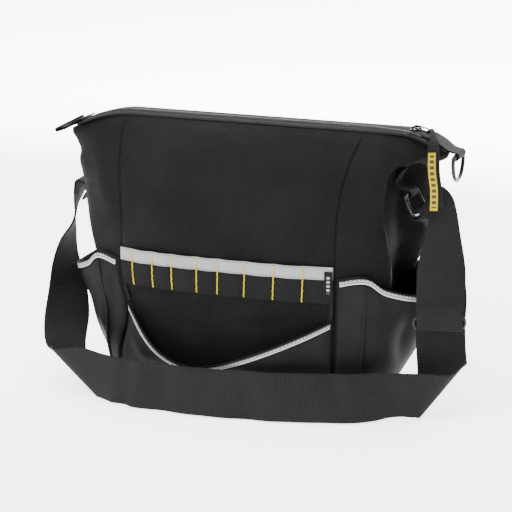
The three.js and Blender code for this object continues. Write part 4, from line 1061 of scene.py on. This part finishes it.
def woven_label():
    """Small label folded into the right seam, over the band's end: a thin sheet on the front's curve."""
    top = BAND_LOW + BAND_TALL - TAPE_TALL + LABEL_TALL / 3
    x = np.linspace(BAND_RIGHT - LABEL_WIDE, BAND_RIGHT, 6)[None]
    z = np.linspace(top - LABEL_TALL, top, 12)[:, None]
    out = TAPE_OFF + 0.0007 + TOUCH_GAP
    rings = sheet_rings(band_point(x, z, out + 0.0010), band_point(x, z, out))
    return lofted("side_label", rings)


dress(woven_label(), woven_label_finish("woven_label_bars", LABEL_WIDE, LABEL_TALL), "binding", "woven_label")


def seam_binding(name, across, low, high):
    """Binding beside a front seam, from the hem of the pocket up to the band."""
    share = np.linspace(low, high, 60)
    inward = across * (1 - 0.022 - 0.006 * np.sin(share * 60))
    points = face_point(-1, inward, share) - vectors(0, 0.0022, 0)
    beside = face_point(-1, inward * 0.98, share) - vectors(0, 0.0022, 0)
    spread = unit(beside - points) * 0.0021
    return lofted(name, band_rings(points, spread, 0.0026, edge=0.5, count=9))


for side_name, across in (("left", -1.0), ("right", 1.0)):
    strip = seam_binding(f"{side_name}_seam_binding", across, 0.350, 0.412)
    dress(strip, BINDING, "binding")


# Zip

ZIP_HALF, ZIP_CROWN, ZIP_THICK = 0.020, 0.0022, 0.0012
COIL_HALF, COIL_THICK = 0.0027, 0.0024
ZIP_SHARES = (-0.965, 0.985)
COIL_SHARES = (-0.90, 0.89)
SLIDER_SHARE = 0.868


def coil_line(x):
    """Where the coil lies across the ridge: in the middle, turning forward towards the right end."""
    t = np.clip((x / HALF_WIDTH - 0.55) / (0.88 - 0.55), 0, 1)
    return -0.5 * ZIP_HALF * smooth(t)


def ridge_top(x, y):
    """Height of the zip tape's underside: the ridge with a crown that falls as y squared."""
    return TOP_SHARE * HEIGHT + TOUCH_GAP + ZIP_CROWN * (1 - (y / ZIP_HALF) ** 2) - ridge_fall(x)


def zip_tape(name, face):
    """One tape from the coil to its outer edge, lapped down over the body's edge."""
    x = np.linspace(ZIP_SHARES[0], ZIP_SHARES[1], 160)[:, None] * HALF_WIDTH
    t = np.linspace(0, 1, 12)[None]
    inner = coil_line(x) + face * (COIL_HALF - 0.0009)
    y = inner + (face * ZIP_HALF - inner) * t
    lap = 0.0005 * smooth(np.clip((t - 0.55) / 0.1, 0, 1)) * (1 - smooth(np.clip((t - 0.9) / 0.1, 0, 1)))
    z = ridge_top(x, y) + lap
    return lofted(name, sheet_rings(vectors(x, y, z + ZIP_THICK), vectors(x, y, z)))


dress(zip_tape("front_zip_tape", -1), ZIP_TAPE, "ripstop", "zip_tape_front")
dress(zip_tape("back_zip_tape", 1), ZIP_TAPE, "ripstop", "zip_tape_back")


def zip_teeth():
    """Teeth of the closed zip: pills across the coil's line, left and right in turn, up to the slider."""
    x = np.arange(COIL_SHARES[0] * HALF_WIDTH, COIL_SHARES[1] * HALF_WIDTH, 0.00115)
    turn = np.where(np.arange(len(x)) % 2, 1.0, -1.0)
    y = coil_line(x) + turn * 0.0009
    slope = np.gradient(coil_line(x), x)
    along = unit(vectors(-slope, 1, 0))
    side = unit(vectors(1, slope, 0))
    centres = vectors(x, y, ridge_top(x, y) + ZIP_THICK * 0.8)
    return repeated("zip_teeth", centres, along, side, pill(0.0034, 0.0010, 0.0019))


dress(zip_teeth(), TOOTH_GREY, "binding", "zip_coil")
for tag, face, off in (("front_inner", -1, 0.0062), ("front_outer", -1, 0.0085), ("back_inner", 1, 0.0062)):
    x = np.linspace(ZIP_SHARES[0] + 0.02, ZIP_SHARES[1] - 0.02, 300) * HALF_WIDTH
    y = coil_line(x) + face * off
    row = vectors(x, y, ridge_top(x, y) + ZIP_THICK + 0.0002)
    stitch_row(f"zip_stitches_{tag}", row, 0.0030, length=0.0021)

SLIDER_X = SLIDER_SHARE * HALF_WIDTH
SLIDER_LONG, SLIDER_WIDE, SLIDER_PLATE, BAIL = 0.015, 0.008, 0.0016, 0.0054
BAIL_WIRE = 0.0016
SLIDER_PLACE = np.array([
    SLIDER_X,
    float(coil_line(np.array(SLIDER_X))),
    float(ridge_top(np.array(SLIDER_X - SLIDER_LONG / 2), 0.0)) + (ZIP_THICK + COIL_THICK) / 2 + TOUCH_GAP,
])
PULLER_LONG, PULLER_WIDE, PULLER_WIRE, PULLER_DROP, PULLER_TURN = 0.015, 0.012, 0.0017, 0.22, 0.12
EYE = SLIDER_PLACE + np.array([
    SLIDER_LONG * 0.35 - BAIL, 0, SLIDER_PLATE + BAIL - BAIL_WIRE - PULLER_WIRE / 2 - TOUCH_GAP])
PULL_ALONG = unit(np.array([math.cos(PULLER_TURN), -math.sin(PULLER_TURN), -math.tan(PULLER_DROP)]))
PULL_ACROSS = np.array([math.sin(PULLER_TURN), math.cos(PULLER_TURN), 0])
PULL_OUT = np.array([math.cos(PULLER_TURN), -math.sin(PULLER_TURN), 0])
PULLER_END = EYE + PULL_ALONG * PULLER_LONG


def slider_plate():
    """Slider's top plate: rings across its length, each a superellipse, narrower and lower at both ends."""
    t = np.linspace(-1, 1, 25)
    end = np.maximum(1 - np.abs(t) ** 6, 0.02) ** 0.5
    angle = np.arange(20) * 2 * math.pi / 20
    c, n = np.cos(angle), np.sin(angle)
    y = np.sign(c) * np.abs(c) ** 0.5 * (SLIDER_WIDE / 2) * (0.9 - 0.1 * t[:, None]) * end[:, None]
    z = (np.sign(n) * np.abs(n) ** 0.6 * 0.5 + 0.5) * (SLIDER_PLATE + 0.0005) * (0.4 + 0.6 * end[:, None])
    rings = vectors(t[:, None] * SLIDER_LONG / 2, y, z) + SLIDER_PLACE
    return lofted("slider_plate", rings, sharp=50)


def slider_bail():
    """Bail over the plate: a flattened wire on a half circle."""
    t = np.linspace(0, math.pi, 9)
    centre = SLIDER_PLACE + [SLIDER_LONG * 0.35 - BAIL, 0, SLIDER_PLATE * 0.6]
    radius = BAIL - BAIL_WIRE / 2
    points = centre + np.stack([radius * np.cos(t), 0 * t, radius * np.sin(t)], axis=-1)
    return wire("slider_bail", points, BAIL_WIRE / 2 + 0.0003, (0, 1, 0), closed=False, fine=4)


dress(slider_plate(), SLIDER_METAL, "black_metal", "zip_slider")
dress(slider_bail(), SLIDER_METAL, "black_metal")
puller = wire(
    "puller_loop",
    rounded_loop((EYE + PULLER_END) / 2, PULL_ALONG, PULL_ACROSS, PULLER_LONG, PULLER_WIDE, 0.0030),
    PULLER_WIRE / 2,
    np.cross(PULL_ALONG, PULL_ACROSS),
)
dress(puller, SLIDER_METAL, "black_metal", "zip_puller")


# Bands along stations: tabs, ribbon and strap

def wrapped(bar, radius, start, end, count, across, wide, out=(1, 0, 0)):
    """Stations round a bar: angle 0 lies in the direction out, a quarter turn straight above."""
    angle = np.linspace(start, end, count + 1)[:, None]
    level, up = np.array(out, float), np.array([0, 0, 1.0])
    centres = np.array(bar) + radius * (np.cos(angle) * level + np.sin(angle) * up)
    spread = unit(np.array(across, float)) * wide / 2
    return centres, np.broadcast_to(spread, centres.shape)


def stations(rows, unit_wide, floor_gap=0.0009):
    """Centres and half spreads of table rows x, y, low, ax, ay, az, wide: low is the lower edge's height."""
    rows = np.array(rows, float)
    across = unit(rows[:, 3:6])
    wide = rows[:, 6] * unit_wide
    rise = np.abs(across[:, 2]) * wide / 2 + floor_gap
    centres = rows[:, :3] * [HALF_WIDTH, HALF_DEPTH, HEIGHT] + rise[:, None] * [0, 0, 1]
    return centres, across * wide[:, None] / 2


def joined(*pairs):
    """Stations of several stretches one after another."""
    return np.concatenate([p[0] for p in pairs]), np.concatenate([p[1] for p in pairs])


def band_along(name, centres, spreads, thick, fine=8, edge=0.06, cup=None, count=13):
    """Band along stations: a centripetal curve through the centres, an even one through the spreads."""
    path, wide = curve(centres, fine), curve(spreads, fine, centripetal=False)
    lift = None if cup is None else cup(len(path))
    return lofted(name, band_rings(path, wide, thick, edge, count, lift), sharp=50), path, wide


RING_WIDE, RING_TALL, RING_WIRE, RING_CLEARANCE = 0.042, 0.022, 0.004, 0.0012
RING_LEAN, RING_CORNER = 0.43, 0.005
RING_AT = {-1: (0.925, 0.12, 0.720), 1: (0.865, -0.12, 0.742)}
RING_TAB_WIDE, RING_TAB_THICK, TAB_SEAT = 0.022, 0.0018, 0.0022
RING_TAB_RISES = (0.024, 0.017, 0.010)


def side_ring(side):
    """Centre, downward direction, top and low bars of a side ring."""
    x, y, z = RING_AT[side]
    centre = np.array([side * x * HALF_WIDTH, y * HALF_DEPTH, z * HEIGHT])
    down = np.array([side * math.sin(RING_LEAN), 0, -math.cos(RING_LEAN)])
    half = down * RING_TALL / 2
    return SimpleNamespace(centre=centre, down=down, top=centre - half, low=centre + half)


def gusset_floor(side, y, z):
    """Distance of the folded gusset from the bag's middle at y and z, by correcting the section's height."""
    level = z / HEIGHT
    for _ in range(4):
        s = section_at(np.array(level))
        deep = s.front if y < 0 else s.back
        wide = s.right if side > 0 else s.left
        x = wide * (1 - abs(y / deep) ** s.corner) ** (1 / s.corner)
        point = outline(np.array(level), np.arctan2(y, side * x))
        level += (z - point[2]) / HEIGHT
    return abs(float(point[0]))


def ring_tab(side, name):
    """Webbing tab: down the gusset's floor, then round the ring's top bar and back behind it."""
    ring = side_ring(side)
    radius = RING_WIRE / 2 + RING_CLEARANCE + RING_TAB_THICK / 2
    wall = []
    for rise in RING_TAB_RISES:
        z = ring.top[2] + rise
        offs = np.linspace(-RING_TAB_WIDE / 2, RING_TAB_WIDE / 2, 5)
        floor_at = max(gusset_floor(side, ring.centre[1] + off, z) for off in offs)
        wall.append([side * (floor_at + TAB_SEAT + RING_TAB_THICK / 2), ring.centre[1], z])
    spread = np.broadcast_to([0, RING_TAB_WIDE / 2, 0], (3, 3))
    turn = (lambda a: a) if side > 0 else (lambda a: math.pi - a)
    fold = wrapped(ring.top, radius, turn(math.pi * 0.62), turn(-math.pi * 0.62), 6, (0, 1, 0), RING_TAB_WIDE)
    centres, spreads = joined((np.array(wall), spread), fold)
    tab, _, _ = band_along(name, centres, spreads, RING_TAB_THICK)
    return tab


for side, side_name in ((-1, "left"), (1, "right")):
    ring = side_ring(side)
    loop = rounded_loop(ring.centre, ring.down, (0, 1, 0), RING_TALL, RING_WIDE, RING_CORNER)
    made = wire(f"{side_name}_side_ring", loop, RING_WIRE / 2, np.cross(ring.down, [0, 1, 0]))
    dress(made, METAL, "black_metal", f"{side_name}_ring")
    dress(ring_tab(side, f"{side_name}_ring_webbing"), TAB_WEB, "webbing", f"{side_name}_ring_tab")

# Route of the strap: x, y, low, ax, ay, az, wide
STRAP_LEFT = [
    (-1.000, 0.12, 0.712, 0.00, -1.00, 0.00, 0.78),
    (-1.010, 0.10, 0.690, 0.05, -1.00, 0.00, 0.84),
    (-1.020, 0.07, 0.640, 0.20, -1.00, 0.00, 0.92),
    (-1.035, 0.02, 0.575, 0.38, -0.93, 0.00, 1.00),
    (-1.060, -0.07, 0.500, 0.09, -1.00, 0.00, 1.00),
    (-1.060, -0.17, 0.420, -0.14, -0.99, 0.00, 1.00),
    (-1.036, -0.25, 0.330, -0.45, -0.89, 0.00, 1.00),
    (-0.998, -0.48, 0.225, -0.74, -0.67, 0.00, 1.00),
    (-0.955, -0.77, 0.130, -0.95, -0.05, 0.14, 0.94),
    (-0.895, -0.93, 0.045, -0.86, 0.02, 0.42, 1.18),
    (-0.855, -1.02, 0.006, -0.79, 0.10, 0.58, 1.36),
    (-0.815, -1.17, 0.001, -0.76, 0.08, 0.64, 1.36),
    (-0.730, -1.29, 0.001, -0.40, 0.03, 0.90, 1.12),
]
STRAP_FLOOR = [
    (-0.600, -1.38, 0.001, -0.08, 0.00, 1.00, 1.00),
    (-0.440, -1.47, 0.001, 0.00, 0.00, 1.00, 1.00),
    (-0.300, -1.50, 0.001, 0.00, 0.02, 1.00, 1.00),
    (-0.120, -1.50, 0.001, 0.00, 0.04, 1.00, 1.00),
    (0.080, -1.46, 0.001, 0.00, 0.08, 1.00, 1.00),
    (0.300, -1.38, 0.001, 0.00, 0.12, 1.00, 1.00),
    (0.500, -1.26, 0.001, 0.00, 0.16, 1.00, 1.00),
    (0.670, -1.13, 0.001, 0.00, 0.18, 1.00, 1.00),
    (0.780, -0.98, 0.001, 0.06, 0.12, 1.00, 1.00),
    (0.858, -0.84, 0.001, 0.20, -0.06, 1.00, 1.00),
]
STRAP_RIGHT = [
    (0.955, -0.76, 0.001, 0.46, -0.08, 0.88, 1.12),
    (1.045, -0.72, 0.001, 0.60, -0.04, 0.80, 1.26),
    (1.082, -0.62, 0.002, 0.60, 0.06, 0.80, 1.46),
    (1.076, -0.54, 0.070, 0.78, 0.12, 0.60, 1.22),
    (1.064, -0.470, 0.150, 0.93, 0.20, 0.32, 1.04),
    (1.052, -0.430, 0.240, 0.95, 0.31, 0.00, 1.00),
    (1.046, -0.430, 0.330, 0.94, 0.34, 0.00, 1.00),
    (1.050, -0.420, 0.430, 0.91, 0.38, 0.00, 1.00),
    (1.022, -0.310, 0.530, 0.74, 0.64, 0.00, 1.00),
    (0.992, -0.200, 0.620, 0.38, 0.92, 0.00, 0.90),
    (0.948, -0.140, 0.685, 0.08, 1.00, 0.00, 0.80),
]
STRAP_RETURN = [
    (0.920, -0.140, 0.714, 0.00, 0.93, 0.35, 0.76),
    (0.952, -0.160, 0.707, 0.00, 0.82, 0.57, 0.82),
    (0.985, -0.200, 0.698, 0.12, 0.78, 0.62, 0.88),
    (1.012, -0.250, 0.676, 0.35, 0.80, 0.48, 0.95),
    (1.032, -0.340, 0.600, 0.60, 0.80, 0.12, 1.00),
    (1.047, -0.430, 0.520, 0.84, 0.54, 0.00, 1.00),
    (1.052, -0.505, 0.435, 0.93, 0.36, 0.00, 0.97),
]
SLIDER_BAR = np.array([1.050, -0.515, 0.328]) * [HALF_WIDTH, HALF_DEPTH, HEIGHT]
SLIDER_TURN = 0.35
HEM_ACROSS = np.array([math.cos(SLIDER_TURN), math.sin(SLIDER_TURN), 0])
HEM_OUT = np.array([math.sin(SLIDER_TURN), -math.cos(SLIDER_TURN), 0])
STRAP_HEM, HEM_WIRE, HEM_CLEARANCE, ADJUSTER_WIDE = 0.027, 0.0032, 0.001, 0.051
HEM_WIDE = ADJUSTER_WIDE - HEM_WIRE - 2 * HEM_CLEARANCE


def strap_stations():
    """Stations of the whole strap: sewn end, left ring, past the front, right ring, return and hem."""
    radius = RING_WIRE / 2 + RING_CLEARANCE + STRAP_THICK / 2
    wide = RING_WIDE - RING_WIRE - 0.002
    quarter = math.pi / 2
    left, right = side_ring(-1), side_ring(1)
    tail = (left.low + [[-0.005, 0, -0.012]], np.array([[0, -wide / 2, 0]]))
    hem_radius = HEM_WIRE / 2 + HEM_CLEARANCE + STRAP_THICK / 2

    def above(place, rise):
        centre = SLIDER_BAR + place * hem_radius * HEM_OUT + [0, 0, rise]
        return centre[None], (HEM_ACROSS * HEM_WIDE / 2)[None]

    fold = wrapped(SLIDER_BAR, hem_radius, 0, -math.pi, 6, HEM_ACROSS, HEM_WIDE, HEM_OUT)
    return joined(
        tail,
        wrapped(left.low, radius, -quarter, quarter, 4, (0, -1, 0), wide),
        stations(STRAP_LEFT, STRAP_WIDE),
        stations(STRAP_FLOOR, STRAP_WIDE),
        stations(STRAP_RIGHT, STRAP_WIDE),
        wrapped(right.low, radius, -quarter, -3 * quarter, 4, (0, 1, 0), wide),
        stations(STRAP_RETURN, STRAP_WIDE),
        above(1, STRAP_HEM / 2),
        fold,
        above(-1, STRAP_HEM / 2),
        above(-1, STRAP_HEM),
    )


# Creases across the strap where it lies: place along x, slant over half the width, width and height
STRAP_CREASES = [
    (-0.112, 0.004, 0.006, 0.0016),
    (-0.098, 0.002, 0.005, -0.0014),
    (-0.086, 0.003, 0.007, 0.0012),
    (0.030, 0.010, 0.016, 0.0008),
    (0.122, -0.012, 0.007, -0.0016),
    (0.140, -0.014, 0.006, 0.0016),
    (0.158, -0.016, 0.006, -0.0014),
]


def strap():
    """Shoulder strap: the band through its stations, gently waved where it lies on the floor, with creases
    whose height is a bell of the distance from a slanting line."""
    centres, spreads = strap_stations()
    path, wide = curve(centres, 9), curve(spreads, 9, centripetal=False)
    far = lengths_along(path[None], 1)[0]
    lying = smooth(np.clip((-path[:, 1] - 0.085) / 0.02, 0, 1))
    wave = 0.0011 * np.sin(far / 0.013) + 0.0008 * np.sin(far / 0.0071 + 1.0)
    out = unit(np.cross(np.gradient(path, axis=0), wide))
    path = path + out * (wave * lying)[:, None]
    cup = 0.0012 * np.sin(far / 0.021 + 0.5) * (0.3 + 0.7 * lying)
    rings = band_rings(path, wide, STRAP_THICK, 0.05, 15, cup)
    half = flat_profile(0.05, 15)[0]
    across = np.concatenate([half, half[::-1]])[None]
    relief = np.zeros(rings.shape[:2])
    for place, slant, width, height in STRAP_CREASES:
        relief += height * np.exp(-(((path[:, :1] - place - slant * across) / width) ** 2))
    rings = rings + out[:, None] * (relief * lying[:, None])[..., None]
    return lofted("shoulder_strap", rings, sharp=50)


dress(strap(), STRAP_WEB, "webbing", "strap_main")
adjuster = rounded_loop(SLIDER_BAR + [0, 0, 0.0045], HEM_ACROSS, (0, 0, 1), ADJUSTER_WIDE, 0.009, 0.0025)
dress(wire("strap_adjuster", adjuster, HEM_WIRE / 2, HEM_OUT), METAL, "black_metal", "strap_slider")
HEM_FACE = HEM_OUT * (HEM_WIRE / 2 + HEM_CLEARANCE + STRAP_THICK + 0.0002)
for tag, rise in (("low", 0.0225), ("high", 0.0260)):
    t = np.linspace(-0.46, 0.46, 40)[:, None]
    row = SLIDER_BAR + HEM_FACE * 0.8 + t * HEM_WIDE * HEM_ACROSS + [0, 0, rise]
    stitch_row(f"strap_stitches_{tag}", row, 0.0034, BLACK_THREAD, 0.0023, 0.0007, "webbing")

# Ends of the zip

TAB_WIDE, TAB_THICK, TAB_EYE_WIDE = 0.034, 0.0017, 0.026
LEFT_TAB = [
    (-0.940, 0.00, 0.00, 0.00, 0.98),
    (-0.980, 0.00, 0.00, 0.08, 1.00),
    (-1.015, 0.00, -0.08, 0.20, 1.10),
]
RIGHT_TAB = [
    (0.925, 0.06, 0.00, 0.00, 0.90),
    (0.985, 0.05, 0.00, 0.00, 0.88),
    (1.030, 0.02, 0.00, 0.00, 0.80),
]
LEFT_HEM = SimpleNamespace(x=-1.050, z=0.924, turn=0.38, tilt=0.20, wide=1.22, radius=0.0016, back=0.045)
END_BAR = np.array([1.070 * HALF_WIDTH, 0, 0.918 * HEIGHT])
END_WIRE, END_CLEARANCE, END_WIDE, END_TALL, END_CORNER = 0.004, 0.0009, 0.038, 0.026, 0.005


def tab_stations(rows):
    """Stations of a tab over the ridge: x, y, rise above the ridge, turn in plan and width share."""
    lift = TOUCH_GAP + ZIP_THICK + ZIP_CROWN + TOUCH_GAP + TAB_THICK / 2
    x, y, rise, turn, wide = np.array(rows, float).T
    x = x * HALF_WIDTH
    z = TOP_SHARE * HEIGHT - ridge_fall(x) + lift + rise * TAB_WIDE
    spread = vectors(np.sin(turn), np.cos(turn), 0) * (wide * TAB_WIDE / 2)[:, None]
    return vectors(x, y * HALF_DEPTH, z), spread


def left_tab():
    """Left tab: over the ridge's end and folded back under itself at a slanting hem."""
    h = LEFT_HEM
    hem = np.array([h.x * HALF_WIDTH, 0, h.z * HEIGHT])
    across = (math.sin(h.turn), math.cos(h.turn), h.tilt)
    fold = wrapped(hem, h.radius, math.pi * 0.55, math.pi * 1.55, 5, across, h.wide * TAB_WIDE)
    back = (hem + [h.back * HALF_WIDTH, 0, h.radius])[None], fold[1][:1]
    centres, spreads = joined(tab_stations(LEFT_TAB), fold, back)
    return band_along("left_zip_tab", centres, spreads, TAB_THICK)[0]


def right_tab():
    """Right tab: over the ridge's end, narrowing, and round the bar of the end ring."""
    radius = END_WIRE / 2 + END_CLEARANCE + TAB_THICK / 2
    fold = wrapped(END_BAR, radius, math.pi * 0.55, -math.pi * 0.88, 8, (0, 1, 0), TAB_EYE_WIDE)
    centres, spreads = joined(tab_stations(RIGHT_TAB), fold)
    return band_along("right_zip_tab", centres, spreads, TAB_THICK)[0]


def end_ring():
    """D-shaped ring: a straight bar, two round corners and a bow on half an ellipse."""
    half = END_WIDE / 2
    corner = np.array([0, 0.5, 1]) * math.pi / 2
    y = half - END_CORNER + END_CORNER * np.sin(corner)
    z = -END_CORNER * (1 - np.cos(corner))
    bow = np.linspace(0.1, 0.9, 10) * math.pi
    depth = END_TALL - END_CORNER
    points = np.concatenate([
        vectors(0, y, z),
        vectors(0, half * np.cos(bow), -END_CORNER - depth * np.sin(bow)),
        vectors(0, -y, z)[::-1],
    ])
    return wire("swinging_ring", END_BAR + points, END_WIRE / 2, (1, 0, 0), fine=6)


dress(left_tab(), CLOTH, "ripstop", "left_end_tab")
dress(right_tab(), CLOTH, "ripstop", "right_end_tab")
dress(end_ring(), METAL, "black_metal", "end_ring", body="ring")

RIBBON_WIDE, RIBBON_THICK = 0.012, 0.0013
PULL_LABEL_WIDE, PULL_LABEL_THICK, PULL_LABEL_GAP = 0.0085, 0.0014, 0.0008
RIBBON = np.array([
    (0.962, -0.210, 0.988, 0.30, 1.00),
    (0.976, -0.300, 0.974, 0.62, 0.78),
    (0.987, -0.380, 0.948, 0.90, 0.44),
    (0.997, -0.435, 0.882, 0.94, 0.34),
    (1.010, -0.440, 0.815, 0.94, 0.34),
    (1.012, -0.455, 0.742, 0.94, 0.34),
])


def ribbon_stations(rows, wide):
    """Centres and half spreads of the ribbon's rows."""
    across = unit(vectors(rows[:, 3], rows[:, 4], 0))
    return rows[:, :3] * [HALF_WIDTH, HALF_DEPTH, HEIGHT], across * wide / 2


def pull_ribbon():
    """Ribbon: round the puller's end bar, down past the zip's end and hanging."""
    radius = PULLER_WIRE / 2 + TOUCH_GAP + RIBBON_THICK / 2
    wide = PULLER_WIDE - PULLER_WIRE - 2 * TOUCH_GAP
    fold = wrapped(PULLER_END, radius, -math.pi * 0.6, -math.pi * 1.8, 7, PULL_ACROSS, wide, PULL_OUT)
    centres, spreads = joined(fold, ribbon_stations(RIBBON, RIBBON_WIDE))
    return band_along("pull_ribbon_band", centres, spreads, RIBBON_THICK)[0]


def pull_label():
    """Label on the ribbon's hanging face, set to its left edge."""
    centres, spreads = ribbon_stations(RIBBON[2:], PULL_LABEL_WIDE)
    across = unit(spreads)
    out = vectors(across[:, 1], -across[:, 0], 0)
    off = (RIBBON_THICK + PULL_LABEL_THICK) / 2 + PULL_LABEL_GAP
    centres = centres + out * off + across * (PULL_LABEL_WIDE - RIBBON_WIDE) / 2
    made, path, _ = band_along("pull_label_plate", centres, spreads, PULL_LABEL_THICK, edge=0.12)
    return made, lengths_along(path[None], 1)[0][-1]


dress(pull_ribbon(), TAB_WEB, "webbing", "pull_ribbon")
plate, plate_long = pull_label()
dress(plate, pull_label_finish("yellow_label", PULL_LABEL_WIDE, plate_long), "yellow_label", "pull_label")


# Studio

def floor():
    """Pale floor and backdrop in one sweep: flat, then a quarter circle up behind."""
    flat, radius, wide = 2.5, 1.2, 4.0
    angle = np.linspace(0, math.pi / 2, 16)
    y = np.concatenate([[-3.0], flat + radius * np.sin(angle), [flat + radius]])
    z = np.concatenate([[0.0], radius * (1 - np.cos(angle)), [3.0]])
    x = np.array([-wide, wide])
    grid = vectors(x[None], y[:, None], z[:, None])
    k = np.arange(len(y) - 1) * 2
    made = mesh_object("studio_floor", grid.reshape(-1, 3), np.stack([k, k + 1, k + 3, k + 2], axis=-1))
    made.data.materials.append(floor_finish("studio_floor"))
    return made


def area_light(name, place, target, size, power, colour=(1, 1, 1)):
    """Soft square light at a place, facing a target."""
    data = bpy.data.lights.new(name, "AREA")
    data.size, data.energy, data.color = size, power, colour
    lamp = bpy.data.objects.new(name, data)
    lamp.location = place
    lamp.rotation_euler = (Vector(target) - Vector(place)).to_track_quat("-Z", "Y").to_euler()
    bpy.context.scene.collection.objects.link(lamp)
    return lamp


CAMERA_AZIMUTH, CAMERA_ELEVATION, CAMERA_AWAY = math.radians(20), math.radians(15), 2.5
CAMERA_TARGET = np.array([-0.001, 0, 0.137])
FOCAL_PIXELS, IMAGE_PIXELS, SENSOR = 2400, 512, 36.0


def camera():
    """Camera at the photograph's angle and distance."""
    back = np.array([
        math.sin(CAMERA_AZIMUTH) * math.cos(CAMERA_ELEVATION),
        -math.cos(CAMERA_AZIMUTH) * math.cos(CAMERA_ELEVATION),
        math.sin(CAMERA_ELEVATION),
    ])
    data = bpy.data.cameras.new("view")
    data.sensor_width = SENSOR
    data.lens = SENSOR * FOCAL_PIXELS / IMAGE_PIXELS
    data.clip_end = 50
    made = bpy.data.objects.new("view", data)
    made.location = CAMERA_TARGET + back * CAMERA_AWAY
    made.rotation_euler = Vector(-back).to_track_quat("-Z", "Y").to_euler()
    bpy.context.scene.collection.objects.link(made)
    bpy.context.scene.camera = made
    return made


floor()
camera()
area_light("key", (-0.9, -1.8, 1.8), (0, 0, 0.12), 1.2, 85)
area_light("fill", (1.6, -1.5, 0.9), (0, 0, 0.12), 1.6, 5)
area_light("top", (-0.3, 0.1, 2.4), (0, 0, 0.0), 3.0, 190)
area_light("backdrop", (0.0, 1.5, 1.7), (0, 3.6, 0.9), 3.0, 420)

world = bpy.data.worlds.new("studio")
world.use_nodes = True
world.node_tree.nodes["Background"].inputs["Color"].default_value = (1, 1, 1, 1)
world.node_tree.nodes["Background"].inputs["Strength"].default_value = 0.40
bpy.context.scene.world = world
